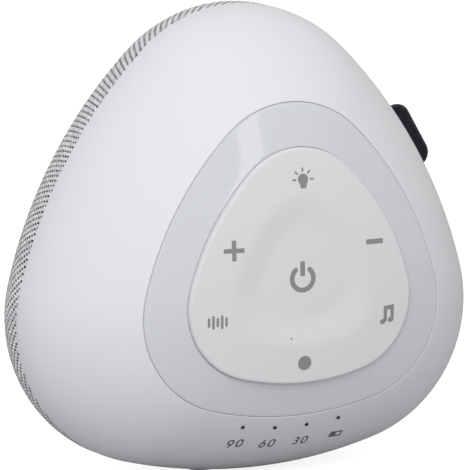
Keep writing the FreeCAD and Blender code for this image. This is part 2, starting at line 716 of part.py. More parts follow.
def loop_block(name, start, length, thickness, depth, width):
    """Block across the hang loop's direction, which leaves the body at the loop angle."""
    box = doc.addObject("Part::Box", name)
    box.setExpression("Length", length)
    box.setExpression("Width", thickness)
    box.setExpression("Height", width)
    return place(
        box,
        "(%s) * cos(sizes.loop_angle * 1 deg) + (%s) / 2 * sin(sizes.loop_angle * 1 deg)" % (start, width),
        depth,
        "(%s) * sin(sizes.loop_angle * 1 deg) - (%s) / 2 * cos(sizes.loop_angle * 1 deg)" % (start, width),
        LOOP_TURN)


def loop_rod(name, radius, reach, depth, width):
    """Rod along the width of the hang loop."""
    bar = doc.addObject("Part::Cylinder", name)
    bar.setExpression("Radius", radius)
    bar.setExpression("Height", width)
    return place(
        bar,
        "(%s) * cos(sizes.loop_angle * 1 deg) + (%s) / 2 * sin(sizes.loop_angle * 1 deg)" % (reach, width),
        depth,
        "(%s) * sin(sizes.loop_angle * 1 deg) - (%s) / 2 * cos(sizes.loop_angle * 1 deg)" % (reach, width),
        LOOP_TURN)


LOOP_MIDDLE = "-sizes.seam_depth + sizes.loop_gap + sizes.loop_thickness / 2"
loop_slot = loop_block(
    "loop_slot", "sizes.loop_bar_reach - 4", "20", "sizes.loop_thickness + 2 * sizes.loop_gap + 6",
    "-sizes.seam_depth - 6", "sizes.loop_width + 2 * sizes.loop_gap")
keep("back_case", minus(
    "back_case",
    joined("back_solid", minus("back_skin", back_outer, back_inner), tongue, back_posts, port_shelf,
           *speaker_bosses),
    group("back_drillings", *speaker_pilots, *back_counterbores),
    group("back_screw_holes", *back_screw_holes),
    group("grille_holes", *grille_holes), port_window, loop_slot))
keep("back_fabric", minus(
    "back_fabric", fabric_outer, back_outer,
    block("fabric_window", "sizes.port_width + 3", "9", "sizes.port_height + 3", "0",
          BACK_WALL + " - 1.2", "sizes.port_z - sizes.port_height / 2 - 1.5"),
    loop_slot))

# Hang loop: tape folded round a bar inside the seam, with an eye at its outer end

LOOP_NOSE = "(sizes.loop_thickness / 2 + 0.3)"
loop_body = joined(
    "loop_body",
    loop_block("loop_tape", "sizes.loop_bar_reach",
               "sizes.loop_reach - %s - sizes.loop_bar_reach" % LOOP_NOSE,
               "sizes.loop_thickness", LOOP_DEPTH, "sizes.loop_width"),
    loop_rod("loop_nose", LOOP_NOSE, "sizes.loop_reach - " + LOOP_NOSE, LOOP_MIDDLE, "sizes.loop_width"),
    loop_rod("loop_wrap", "sizes.loop_bar_radius + 1.1", "sizes.loop_bar_reach", LOOP_MIDDLE,
             "sizes.loop_width"))
keep("hang_loop", minus(
    "hang_loop", loop_body,
    loop_rod("loop_eye", "sizes.loop_eye_radius", "sizes.loop_reach - " + LOOP_NOSE, LOOP_MIDDLE,
             "sizes.loop_width + 2"),
    loop_rod("loop_bar_room", "sizes.loop_bar_radius + 0.1", "sizes.loop_bar_reach", LOOP_MIDDLE,
             "sizes.loop_width + 2")))
keep("loop_bar", loop_rod("loop_bar", "sizes.loop_bar_radius", "sizes.loop_bar_reach", LOOP_MIDDLE,
                          "sizes.loop_width + 5"))

# Loudspeaker

SPEAKER_FACE = BACK_WALL + " - sizes.gasket_thickness - sizes.speaker_seat_play"
FLANGE = "sizes.flange_thickness"
CONE_RIM = SPEAKER_FACE + " - 2.0"
PLATE_FACE = "3.4"


def speaker_rod(name, radius, length, depth):
    return rod(name, radius, length, "0", depth, "sizes.speaker_z")


def speaker_tube(name, radius, bore, length, depth):
    return minus(name, speaker_rod(name + "_rod", radius, length, depth),
                 speaker_rod(name + "_bore", bore, length + " + 2", depth + " - 1"))


keep("speaker_gasket", speaker_tube(
    "speaker_gasket", "sizes.speaker_radius - 0.5", "sizes.speaker_radius - 2.5",
    "sizes.gasket_thickness", SPEAKER_FACE))
BASKET_FRONT = PLATE_FACE + " + sizes.plate_thickness"
BASKET_DEPTH = "(%s - (%s))" % (SPEAKER_FACE, BASKET_FRONT)
basket_outer = joined(
    "basket_outer",
    taper("basket_taper", "sizes.magnet_radius", "sizes.speaker_radius - 0.6", BASKET_DEPTH,
          "0", BASKET_FRONT, "sizes.speaker_z"),
    speaker_rod("basket_flange", "sizes.speaker_radius", FLANGE, SPEAKER_FACE + " - " + FLANGE))
basket_inner = taper(
    "basket_inner", "sizes.magnet_radius - 1.2", "sizes.speaker_radius - 1.8", BASKET_DEPTH + " + 0.2",
    "0", BASKET_FRONT + " + 0.8", "sizes.speaker_z")
basket_rim_room = speaker_rod(
    "basket_rim_room", "sizes.cone_radius + sizes.surround_width", "6", CONE_RIM)
basket_bore = speaker_rod("basket_bore", "sizes.coil_radius + sizes.coil_gap + 1", "6", BASKET_FRONT + " - 1")
BASKET_FOOT = "1.6"
WINDOW_DEPTH = "%s - %s - %s" % (BASKET_DEPTH, BASKET_FOOT, FLANGE)
WINDOW_FRONT = BASKET_FRONT + " + " + BASKET_FOOT
WINDOW_WIDTH = "9"
basket_windows = [
    block("basket_window_across", "2 * sizes.speaker_radius", WINDOW_DEPTH, WINDOW_WIDTH,
          "0", WINDOW_FRONT, "sizes.speaker_z - %s / 2" % WINDOW_WIDTH),
    block("basket_window_upright", WINDOW_WIDTH, WINDOW_DEPTH, "2 * sizes.speaker_radius",
          "0", WINDOW_FRONT, "sizes.speaker_z - sizes.speaker_radius")]
keep("speaker_basket", minus(
    "speaker_basket", basket_outer, basket_inner, basket_rim_room, basket_bore, *basket_windows))
keep("speaker_terminal", block(
    "speaker_terminal", "8", "1.4", "1.9", "0", SPEAKER_FACE + " - " + FLANGE + " - 1.4",
    "sizes.speaker_z - sizes.speaker_radius + 0.15"))
keep("speaker_top_plate", speaker_tube(
    "speaker_top_plate", "sizes.magnet_radius - 1", "sizes.coil_radius + sizes.coil_gap",
    "sizes.plate_thickness", PLATE_FACE))
keep("speaker_magnet", speaker_tube(
    "speaker_magnet", "sizes.magnet_radius", "sizes.coil_radius + 2", "sizes.magnet_length",
    PLATE_FACE + " - sizes.magnet_length"))
YOKE_FRONT = PLATE_FACE + " - sizes.magnet_length - 2"
keep("speaker_yoke", joined(
    "speaker_yoke",
    speaker_rod("yoke_plate", "sizes.magnet_radius - 1", "2", YOKE_FRONT),
    speaker_rod("yoke_pole", "sizes.coil_radius - 0.3 - sizes.coil_gap",
                "2 + sizes.magnet_length + sizes.plate_thickness", YOKE_FRONT)))
COIL_FRONT = PLATE_FACE + " - 1.6"
CONE_NECK = PLATE_FACE + " + sizes.plate_thickness + 4.0"
keep("voice_coil", speaker_tube(
    "voice_coil", "sizes.coil_radius", "sizes.coil_radius - 0.3",
    "sizes.plate_thickness + 1.6 + 4.6", COIL_FRONT))
CONE_DEPTH = "(%s - (%s))" % (CONE_RIM, CONE_NECK)
cone_outer = taper("cone_outer", "sizes.coil_radius + 0.5", "sizes.cone_radius", CONE_DEPTH,
                   "0", CONE_NECK, "sizes.speaker_z")
cone_inner = taper("cone_inner", "sizes.coil_radius", "sizes.cone_radius - 0.5", CONE_DEPTH,
                   "0", CONE_NECK, "sizes.speaker_z")
keep("speaker_cone", minus("speaker_cone", cone_outer, cone_inner))
CAP_RISE = 3.0
cap_ball = doc.addObject("Part::Sphere", "cap_ball")
cap_ball.setExpression("Radius", "((sizes.coil_radius - 0.3) ^ 2 + %s ^ 2) / (2 * %s)" % (CAP_RISE, CAP_RISE))
place(cap_ball, "0", "%s + 0.6 + %s - ((sizes.coil_radius - 0.3) ^ 2 + %s ^ 2) / (2 * %s)" % (
    CONE_NECK, CAP_RISE, CAP_RISE, CAP_RISE), "sizes.speaker_z")
cap_hollow = doc.addObject("Part::Sphere", "cap_hollow")
cap_hollow.setExpression("Radius", "cap_ball.Radius - 0.4 mm")
cap_hollow.Placement = cap_ball.Placement
for axis in "xyz":
    cap_hollow.setExpression("Placement.Base." + axis, "cap_ball.Placement.Base." + axis)
keep("dust_cap", minus(
    "dust_cap", shared("cap_dome", cap_ball, speaker_rod(
        "cap_limit", "sizes.coil_radius - 0.35", "12", CONE_NECK + " + 0.8")), cap_hollow))
roll = doc.addObject("Part::Torus", "roll")
roll.setExpression("Radius1", "sizes.cone_radius + sizes.surround_width / 2")
roll.setExpression("Radius2", "sizes.surround_width / 2")
place(roll, "0", CONE_RIM, "sizes.speaker_z", FACE_BACKWARD)
roll_room = doc.addObject("Part::Torus", "roll_room")
roll_room.setExpression("Radius1", "sizes.cone_radius + sizes.surround_width / 2")
roll_room.setExpression("Radius2", "sizes.surround_width / 2 - 0.4")
place(roll_room, "0", CONE_RIM, "sizes.speaker_z", FACE_BACKWARD)
keep("speaker_surround", shared(
    "speaker_surround", minus("roll_shell", roll, roll_room),
    speaker_rod("roll_half", "sizes.speaker_radius", "6", CONE_RIM)))
keep("spider", speaker_tube(
    "spider", "sizes.magnet_radius - 2", "sizes.coil_radius + 0.05", "0.5",
    PLATE_FACE + " + sizes.plate_thickness + 1.7"))

# Battery in a cradle that sits in the bottom of the body

keep("battery_cell", rod("battery_cell", "sizes.cell_radius", "sizes.cell_length",
                         "-sizes.cell_length / 2", "0", "sizes.cell_z", ALONG_X))
cradle_limit = shared(
    "cradle_limit",
    joined("cradle_room", loft("cradle_back_room", back_stations(BACK_OFFSET + " + 0.2")),
           prism("cradle_front_room", "0.94", "-15", "-sizes.seam_depth")),
    prism("cradle_side_room", TONGUE_OUTER + " - " + inset("sizes.tongue_wall + 0.25"), "-15", "15"))
cradle_block = shared(
    "cradle_block",
    block("cradle_box", "sizes.cell_length + 4", "2 * sizes.cell_radius + 2.2", "17",
          "0", "-sizes.cell_radius - 1.1", "sizes.cell_z - sizes.cell_radius - 4"),
    cradle_limit)
keep("battery_cradle", minus(
    "battery_cradle", cradle_block,
    rod("cell_room", "sizes.cell_radius + sizes.cell_play", "sizes.cell_length + 4 * sizes.cell_play",
        "-sizes.cell_length / 2 - 2 * sizes.cell_play", "0", "sizes.cell_z", ALONG_X)))
CELL_TOP = "sizes.cell_z + sizes.cell_radius"
keep("battery_guard_board", block("battery_guard_board", "28", "8", "1", "0", "-4", CELL_TOP))
tabs = []
for number, side in enumerate((-1, 1)):
    strip = block("tab_strip_%d" % number, "(sizes.cell_length - 28) / 2 + 0.15", "5", "0.15",
                  "%d * (14 + (sizes.cell_length - 28) / 4 + 0.075)" % side, "-2.5", CELL_TOP)
    drop = block("tab_drop_%d" % number, "0.15", "5", "sizes.cell_radius + 0.15",
                 "%d * (sizes.cell_length / 2 + 0.075)" % side, "-2.5", "sizes.cell_z")
    tabs.append(joined("battery_tab_%d" % number, strip, drop))
keep("battery_tabs", group("battery_tabs", *tabs))

# Charging port, its board and the bezel that edges the opening in the fabric

port_shell = block("port_shell", "sizes.port_width", "sizes.port_length", "sizes.port_height",
                   "0", PORT_FRONT, "sizes.port_z - sizes.port_height / 2")
port_mouth = block("port_mouth", "sizes.port_width - 0.7", "sizes.port_length - 1", "sizes.port_height - 0.7",
                   "0", PORT_FRONT + " + 1.2", "sizes.port_z - sizes.port_height / 2 + 0.35")
port_tongue = block("port_tongue", "sizes.port_width - 2.4", "sizes.port_length - 2", "0.7",
                    "0", PORT_FRONT + " + 1", "sizes.port_z - 0.35")
keep("charge_port", joined("charge_port", minus("port_socket", port_shell, port_mouth), port_tongue))
keep("port_board", block("port_board", "16", "4.6", "1", "0", PORT_FRONT + " - 2", SHELF_TOP))
keep("port_bezel", minus(
    "port_bezel",
    block("port_bezel_block", "sizes.port_width + 2.8", "3.4", "sizes.port_height + 2.8", "0",
          BACK_WALL + " - 0.6", "sizes.port_z - sizes.port_height / 2 - 1.4"),
    block("port_bezel_hole", "sizes.port_width + 0.1", "9", "sizes.port_height + 0.1", "0",
          BACK_WALL + " - 3", "sizes.port_z - sizes.port_height / 2 - 0.05")))

# Foot pad that flattens the curved underside

foot_block = block("foot_block", "sizes.foot_width", "sizes.foot_front + sizes.foot_back", "9",
                   "0", "-sizes.foot_front", "-sizes.centre_height")
foot_round = doc.addObject("Part::Fillet", "foot_round")
foot_round.Base = foot_block
foot_round.Edges = [(edge, 5.0, 5.0) for edge in (1, 3, 5, 7)]
keep("foot_pad", minus("foot_pad", foot_round, front_outer, fabric_outer))

# Screws


def screws(label, points, head_radius, head_length, shank_radius, shank_length, seat, from_back=True):
    """Pan head screws; seat is the depth of the underside of the head."""
    made = []
    for number, (x, z) in enumerate(points):
        head_start = seat if from_back else "%s - (%s)" % (seat, head_length)
        shank_start = "%s - (%s)" % (seat, shank_length) if from_back else seat + " - 0.5"
        slot_start = "%s + (%s) - 0.7" % (seat, head_length) if from_back else head_start
        head = rod("%s_head_%d" % (label, number), head_radius, head_length, x, head_start, z)
        shank = rod("%s_shank_%d" % (label, number), shank_radius, shank_length + " + 0.5", x, shank_start, z)
        cross = [
            block("%s_slot_%d_%d" % (label, number, turn), width, "0.7", height,
                  x, slot_start, "(%s) - (%s) / 2" % (z, height))
            for turn, (width, height) in enumerate((("2.2", "0.5"), ("0.5", "2.2")))]
        made.append(minus("%s_%d" % (label, number), joined(
            "%s_blank_%d" % (label, number), head, shank), *cross))
    return keep(label, group(label, *made))


screws("case_screws", CASE_POINTS, "sizes.case_head_radius", "1.8", "sizes.case_screw_radius",
       "sizes.case_floor + 10", "sizes.case_floor")
screws("chassis_screws", CHASSIS_POINTS, "sizes.small_head_radius", "1.3", "sizes.small_screw_radius",
       "sizes.chassis_thickness + 2.2", CHASSIS_BACK)
screws("main_board_screws", MAIN_POINTS, "sizes.small_head_radius", "1.3", "sizes.small_screw_radius",
       "sizes.main_board_thickness + 4", MAIN_BACK)
screws("speaker_screws", SPEAKER_POINTS, "sizes.speaker_head_radius", "1.3", "sizes.small_screw_radius",
       "3", SPEAKER_SEAT, False)

# Leads from the main board to the loudspeaker and to the battery


def lead(points, radius, bend):
    """Wire along straight runs with a tangent arc at each turn."""
    corners = [FreeCAD.Vector(*point) for point in points]
    edges = []
    start = corners[0]
    for before, turn, after in zip(corners, corners[1:], corners[2:]):
        incoming = (before - turn).normalize()
        outgoing = (after - turn).normalize()
        half = incoming.getAngle(outgoing) / 2
        trim = bend / math.tan(half)
        first = turn + incoming * trim
        last = turn + outgoing * trim
        middle = turn + (incoming + outgoing).normalize() * (bend / math.sin(half) - bend)
        edges.append(Part.LineSegment(start, first).toShape())
        edges.append(Part.Arc(first, middle, last).toShape())
        start = last
    edges.append(Part.LineSegment(start, corners[-1]).toShape())
    circle = Part.Circle(corners[0], corners[1] - corners[0], radius)
    return Part.Wire(edges).makePipeShell([Part.Wire([circle.toShape()])], True, False)


def leads(label, routes, radius, bend):
    shape = Part.makeCompound([lead(route, radius, bend) for route in routes])
    wires = doc.addObject("Part::Feature", label)
    wires.Shape = shape
    wires.Placement = FreeCAD.Placement(FreeCAD.Vector(0, 0, SIZES["centre_height"]), UPRIGHT)
    return keep(label, wires)


SOCKET_BACK = -SIZES["main_board_front"] + SIZES["main_board_thickness"] + 4.5
TERMINAL_FACE = (SIZES["back_depth"] - SIZES["fabric_thickness"] - SIZES["shell_wall"]
                 - SIZES["gasket_thickness"] - SIZES["speaker_seat_play"] - SIZES["flange_thickness"] - 1.4)
TERMINAL_LEVEL = SIZES["speaker_z"] - SIZES["speaker_radius"] + 1.1
leads("speaker_leads", [
    [(side, TERMINAL_FACE, TERMINAL_LEVEL), (side, 5.0, TERMINAL_LEVEL),
     (6.0 + side, -4.0, -16.8), (6.0 + side, SOCKET_BACK, -16.8)]
    for side in (1.2, 2.8)], 0.5, 4.0)
GUARD_LEVEL = SIZES["cell_z"] + SIZES["cell_radius"] + 0.5
leads("battery_leads", [
    [(-8 + side, -4.0, GUARD_LEVEL), (-8 + side, -5.6, GUARD_LEVEL),
     (-8 + side, -9.0, -17.2), (-8 + side, SOCKET_BACK, -17.2)]
    for side in (-0.8, 0.8)], 0.5, 1.5)

doc.recompute()
faults = [
    thing.Name for thing in doc.Objects
    if "Invalid" in thing.State or "Error" in thing.State or thing.State == ["Touched"]]
for piece in SUBPARTS:
    if piece.Shape.isNull() or not piece.Shape.isValid() or not piece.Shape.Solids:
        faults.append(piece.Label)
if faults:
    raise RuntimeError("these pieces failed: " + ", ".join(faults))

os.makedirs("parts", exist_ok=True)
for piece in SUBPARTS:
    piece.Shape.exportStep("parts/%s.step" % piece.Label)
    print("%-22s solids %2d  volume %9.1f" % (piece.Label, len(piece.Shape.Solids), piece.Shape.Volume))
print("pieces", len(SUBPARTS))
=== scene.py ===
# %% [markdown]
# A bedside sound machine, dressed for its portrait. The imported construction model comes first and
# is the frame: every piece made below lies exactly where that model has it, in metres. The front
# of the machine faces -Y, +X is to the right and +Z is up.

# %% Load the frame
import json
import math
from functools import partial

import bmesh
import bpy
from mathutils import Matrix, Vector
from mathutils.geometry import delaunay_2d_cdt


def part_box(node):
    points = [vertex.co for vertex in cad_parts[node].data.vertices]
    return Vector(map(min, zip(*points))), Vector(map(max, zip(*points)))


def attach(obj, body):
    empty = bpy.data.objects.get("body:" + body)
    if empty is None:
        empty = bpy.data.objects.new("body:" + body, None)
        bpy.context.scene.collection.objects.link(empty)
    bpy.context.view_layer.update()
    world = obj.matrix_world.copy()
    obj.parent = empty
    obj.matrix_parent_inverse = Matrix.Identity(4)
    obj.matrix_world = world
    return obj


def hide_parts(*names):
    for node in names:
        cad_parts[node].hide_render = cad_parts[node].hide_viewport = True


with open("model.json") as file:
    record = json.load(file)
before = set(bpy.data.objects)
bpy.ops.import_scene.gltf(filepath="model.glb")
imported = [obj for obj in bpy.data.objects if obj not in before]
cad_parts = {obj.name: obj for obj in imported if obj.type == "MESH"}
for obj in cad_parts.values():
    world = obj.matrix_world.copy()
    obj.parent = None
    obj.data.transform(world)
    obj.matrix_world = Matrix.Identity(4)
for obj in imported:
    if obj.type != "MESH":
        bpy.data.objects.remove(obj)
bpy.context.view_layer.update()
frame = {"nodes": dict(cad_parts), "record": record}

MM = 0.001
print("frame holds", len(frame["nodes"]), "nodes")

# %% [markdown]
# The camera stands where the photographer stood: to the left of the front and a little above it,
# with a long lens, which keeps the far side nearly as large as the near side. The small shifts
# only centre the picture.

# %% Camera
CENTRE_HEIGHT = 46.65 * MM
PHOTO_SIZE = 470
PHOTO_FOCAL = 2788.47
PHOTO_MIDDLE = (234.0, 254.6)
CAMERA_TURN = math.radians(-24.0)
CAMERA_RISE = math.radians(8.5)
CAMERA_ROLL = math.radians(-0.61)
CAMERA_DISTANCE = 608.04 * MM


def link_object(name, data):
    piece = bpy.data.objects.new(name, data)
    bpy.context.scene.collection.objects.link(piece)
    return piece


def make_camera():
    data = bpy.data.cameras.new("portrait_camera")
    data.sensor_width = 36.0
    data.lens = PHOTO_FOCAL * data.sensor_width / PHOTO_SIZE
    data.shift_x = (PHOTO_SIZE / 2 - PHOTO_MIDDLE[0]) / PHOTO_SIZE
    data.shift_y = (PHOTO_MIDDLE[1] - PHOTO_SIZE / 2) / PHOTO_SIZE
    data.clip_start = 0.01
    camera = link_object("portrait_camera", data)
    turned = Matrix.Rotation(CAMERA_TURN, 4, "Z") @ Matrix.Rotation(math.pi / 2 - CAMERA_RISE, 4, "X")
    camera.matrix_world = (Matrix.Translation((0, 0, CENTRE_HEIGHT)) @ turned
                           @ Matrix.Rotation(CAMERA_ROLL, 4, "Z")
                           @ Matrix.Translation((0, 0, CAMERA_DISTANCE)))
    bpy.context.scene.camera = camera
    return camera


camera = make_camera()
print("lens", round(camera.data.lens, 1), "mm")

# %% [markdown]
# A material is a little machine of nodes. These helpers add a node and join numbers or other
# nodes' outputs to its sockets. Effects that several finishes need are node groups, built once and
# placed with their own values.

# %% Node helpers


def feed(socket, value):
    if isinstance(value, bpy.types.NodeSocket):
        socket.id_data.links.new(value, socket)
    else:
        socket.default_value = value


def fill(sockets, values):
    """Feed several sockets, given by name or by number."""
    for key, value in dict(values).items():
        feed(sockets[key], value)


def add_node(tree, kind, values=(), **settings):
    node = tree.nodes.new(kind)
    for name, setting in settings.items():
        setattr(node, name, setting)
    fill(node.inputs, values)
    return node


def math_node(tree, operation, *values):
    return add_node(tree, "ShaderNodeMath", enumerate(values), operation=operation).outputs[0]


def mix_colour(tree, factor, first, second):
    return add_node(tree, "ShaderNodeMix", {0: factor, 6: first, 7: second}, data_type="RGBA").outputs[2]


def map_range(tree, *values):
    """The value, its low and high, and the low and high they become."""
    return add_node(tree, "ShaderNodeMapRange", enumerate(values)).outputs[0]


def new_group(name, kind, inputs, outputs):
    """New node group, the sockets it is given and the sockets of its result."""
    tree = bpy.data.node_groups.new(name, kind)
    for side, sockets in (("INPUT", inputs), ("OUTPUT", outputs)):
        for label, socket_type, *default in sockets:
            socket = tree.interface.new_socket(name=label, in_out=side, socket_type=socket_type)
            if default:
                socket.default_value = default[0]
    return tree, add_node(tree, "NodeGroupInput").outputs, add_node(tree, "NodeGroupOutput").inputs


FLOAT = "NodeSocketFloat"
COLOUR = "NodeSocketColor"
VECTOR = "NodeSocketVector"
GEOMETRY = "NodeSocketGeometry"

# %% [markdown]
# Moulded plastic is never perfectly even: it has a fine texture, and handling leaves faint smears
# that only show in the gloss. The first group gives a shade that drifts slightly, a roughness that
# varies, and a height for the bump.

# %% Moulded surface group


def build_moulded_group():
    tree, given, result = new_group(
        "moulded_surface", "ShaderNodeTree",
        [("Colour", COLOUR, (0.8, 0.8, 0.8, 1)), ("Roughness", FLOAT, 0.4),
         ("Grain Size", FLOAT, 2500.0), ("Smear Size", FLOAT, 45.0),
         ("Colour Drift", FLOAT, 0.03), ("Roughness Drift", FLOAT, 0.06)],
        [("Colour", COLOUR), ("Roughness", FLOAT), ("Height", FLOAT)])
    where = add_node(tree, "ShaderNodeTexCoord").outputs["Object"]

    def noise(scale, detail):
        values = {"Vector": where, "Scale": scale, "Detail": detail}
        return add_node(tree, "ShaderNodeTexNoise", values).outputs["Fac"]

    smear = math_node(tree, "SUBTRACT", noise(given["Smear Size"], 4.0), 0.5)
    shade = math_node(tree, "MULTIPLY_ADD", smear, given["Colour Drift"], 1.0)
    tint = add_node(tree, "ShaderNodeVectorMath", {0: given["Colour"], "Scale": shade}, operation="SCALE")
    rough = math_node(tree, "MULTIPLY_ADD", smear, given["Roughness Drift"], given["Roughness"])
    fill(result, {"Colour": tint.outputs[0], "Roughness": rough, "Height": noise(given["Grain Size"], 2.0)})
    return tree


MOULDED = build_moulded_group()
print("moulded surface nodes", len(MOULDED.nodes))

# %% Material helpers
FINISHES = {}


def new_material(name):
    material = bpy.data.materials.new(name)
    material.use_nodes = True
    tree = material.node_tree
    return material, tree, next(node for node in tree.nodes if node.type == "BSDF_PRINCIPLED")


def bump(tree, shader, height, distance):
    node = add_node(tree, "ShaderNodeBump", {"Strength": 1.0, "Distance": distance, "Height": height})
    feed(shader.inputs["Normal"], node.outputs["Normal"])


def moulded(name, colour, roughness, grain_depth=0.004 * MM, metallic=0.0, coat=0.0, subsurface=0.0,
            **surface):
    """Plastic, rubber, metal or board; surface sets other inputs of the moulded surface group."""
    FINISHES[name], tree, shader = new_material(name)
    group = add_node(tree, "ShaderNodeGroup", {"Colour": (*colour, 1), "Roughness": roughness},
                     node_tree=MOULDED)
    fill(group.inputs, {key.replace("_", " ").title(): value for key, value in surface.items()})
    fill(shader.inputs, {"Base Color": group.outputs["Colour"], "Roughness": group.outputs["Roughness"],
                         "Metallic": metallic, "Coat Weight": coat})
    if subsurface:
        fill(shader.inputs, {"Subsurface Weight": subsurface, "Subsurface Radius": (1.0, 0.9, 0.8),
                             "Subsurface Scale": 1.5 * MM})
    bump(tree, shader, group.outputs["Height"], grain_depth)


# %% [markdown]
# Woven cloth is two sets of threads that cross. A thread rises where it passes over another and
# dips where it goes under. From a flat map of the cloth the group finds which threads cross at a
# point, which is on top and how high it stands. The twill step moves the crossings from row to
# row, which gives diagonal lines. Where the threads sink lowest, between them, the group marks the
# gaps that get a painted shade colour.

# %% Woven cloth group
WOBBLE_SCALE = 420.0
WOBBLE_REACH = 0.55
UNDER_HEIGHT = 0.62
WEFT_STRETCH = 0.22
DASH_RANGE = (0.51, 0.57)
WARP_EDGE = 0.03
# Below this height, in the gaps between threads, the cloth gets a painted shade colour.
PAINTED_SHADE_BELOW = 0.42


def build_weave_group():
    tree, given, result = new_group(
        "woven_threads", "ShaderNodeTree",
        [("Map", VECTOR), ("Across", FLOAT, 1000.0), ("Along", FLOAT, 1000.0), ("Twill", FLOAT, 2.0),
         ("Dash Scale", FLOAT, 650.0)],
        [(label, FLOAT) for label in ("Height", "Warp On Top", "Warp Shade", "Weft Shade", "Gap")])
    calc = partial(math_node, tree)
    times, minus = partial(calc, "MULTIPLY"), partial(calc, "SUBTRACT")
    split = add_node(tree, "ShaderNodeSeparateXYZ", {0: given["Map"]}).outputs
    wobble = add_node(tree, "ShaderNodeTexNoise", {"Vector": given["Map"], "Scale": WOBBLE_SCALE})
    drift = times(minus(wobble.outputs["Fac"], 0.5), WOBBLE_REACH)
    across = calc("ADD", times(split[0], given["Across"]), drift)
    along = minus(times(split[1], given["Along"]), drift)
    weft_number = calc("FLOOR", along)
    warp_offset = minus(calc("FRACT", across), 0.5)
    weft_offset = minus(calc("FRACT", along), 0.5)
    step = calc("ADD", calc("FLOOR", across), weft_number)
    warp_top = calc("LESS_THAN", calc("FLOORED_MODULO", step, given["Twill"]), 1.0)

    def round_back(offset):
        square = times(offset, offset)
        return calc("SQRT", calc("MAXIMUM", calc("MULTIPLY_ADD", square, -4.0, 1.0), 0.0))

    def crown(offset):
        return calc("COSINE", times(offset, math.pi))

    weft_back = round_back(weft_offset)
    warp_height = times(round_back(warp_offset), crown(weft_offset))
    weft_height = times(weft_back, crown(warp_offset))
    top_warp = times(warp_height, warp_top)
    top_weft = times(weft_height, minus(1.0, warp_top))
    under = times(weft_back, UNDER_HEIGHT)
    height = calc("MAXIMUM", calc("ADD", top_warp, top_weft), under)
    stretch = calc("FLOOR", times(across, WEFT_STRETCH))
    thread = add_node(tree, "ShaderNodeCombineXYZ", {0: weft_number, 1: stretch}).outputs[0]
    chooser = add_node(tree, "ShaderNodeTexWhiteNoise", {"Vector": thread}, noise_dimensions="2D")
    dashes = add_node(tree, "ShaderNodeTexNoise", {"Vector": given["Map"], "Scale": given["Dash Scale"]})
    # The last output marks the low gaps between threads, where a painted shade colour goes.
    fill(result, {
        "Height": height, "Warp On Top": calc("GREATER_THAN", top_warp, WARP_EDGE),
        "Warp Shade": map_range(tree, dashes.outputs["Fac"], *DASH_RANGE, 0.0, 1.0),
        "Weft Shade": chooser.outputs["Value"], "Gap": calc("LESS_THAN", height, PAINTED_SHADE_BELOW)})
    return tree


WEAVE = build_weave_group()
print("weave nodes", len(WEAVE.nodes))


def woven(name, wefts, warps, painted_gap_shade, across, along, twill, depth, roughness):
    """Cloth whose threads vary between two weft colours and two warp colours, with a painted shade colour
    in the low gaps between threads.
    """
    FINISHES[name], tree, shader = new_material(name)
    cloth_map = add_node(tree, "ShaderNodeUVMap", uv_map="cloth").outputs[0]
    group = add_node(tree, "ShaderNodeGroup", {
        "Map": cloth_map, "Across": 1 / across, "Along": 1 / along, "Twill": twill}, node_tree=WEAVE)
    made = group.outputs
    weft = mix_colour(tree, made["Weft Shade"], *[(*colour, 1) for colour in wefts])
    warp = mix_colour(tree, made["Warp Shade"], *[(*colour, 1) for colour in warps])
    cloth = mix_colour(tree, made["Warp On Top"], weft, warp)
    fill(shader.inputs, {
        # The low gaps between threads take a painted shade colour in place of the thread colour.
        "Base Color": mix_colour(tree, made["Gap"], cloth, (*painted_gap_shade, 1)),
        "Roughness": map_range(tree, made["Weft Shade"], 0, 1, roughness - 0.08, roughness + 0.08),
        "Sheen Weight": 0.15, "Specular IOR Level": 0.25})
    bump(tree, shader, made["Height"], depth)


# %% [markdown]
# Now the finishes: satin white plastic for the shell, soft white silicone for the keypad, glossy
# plastic for the ring that lets the night light through, grey cloth for the back, and plain
# colours for boards, metal and wire inside.

# %% Outer finishes
moulded("shell_white", (0.80, 0.80, 0.83), 0.34, grain_size=3200.0, grain_depth=0.0025 * MM,
        colour_drift=0.015)
moulded("ring_plastic", (0.685, 0.70, 0.735), 0.10, grain_size=600.0, grain_depth=0.001 * MM, coat=0.6,
        subsurface=0.35, colour_drift=0.02, roughness_drift=0.03)
moulded("keypad_silicone", (0.755, 0.755, 0.77), 0.52, grain_size=4200.0, grain_depth=0.004 * MM,
        colour_drift=0.012)
# The colour after the warps is painted shade for the gaps between threads.
woven("fabric_grey", ((0.62, 0.62, 0.645), (0.90, 0.90, 0.93)),
      ((0.002, 0.002, 0.003), (0.30, 0.30, 0.31)), (0.46, 0.46, 0.48), 0.80 * MM, 0.62 * MM, 3.0,
      0.09 * MM, 0.82)
woven("tape_black", ((0.006, 0.006, 0.011), (0.013, 0.012, 0.022)),
      ((0.004, 0.004, 0.007), (0.018, 0.017, 0.03)), (0.003, 0.003, 0.005), 0.55 * MM, 0.45 * MM, 2.0,
      0.06 * MM, 0.7)
moulded("icon_ink", (0.27, 0.27, 0.28), 0.55, colour_drift=0.10, smear_size=900.0)
moulded("label_ink", (0.12, 0.12, 0.135), 0.5, colour_drift=0.10, smear_size=900.0)
print("outer finishes", len(FINISHES))

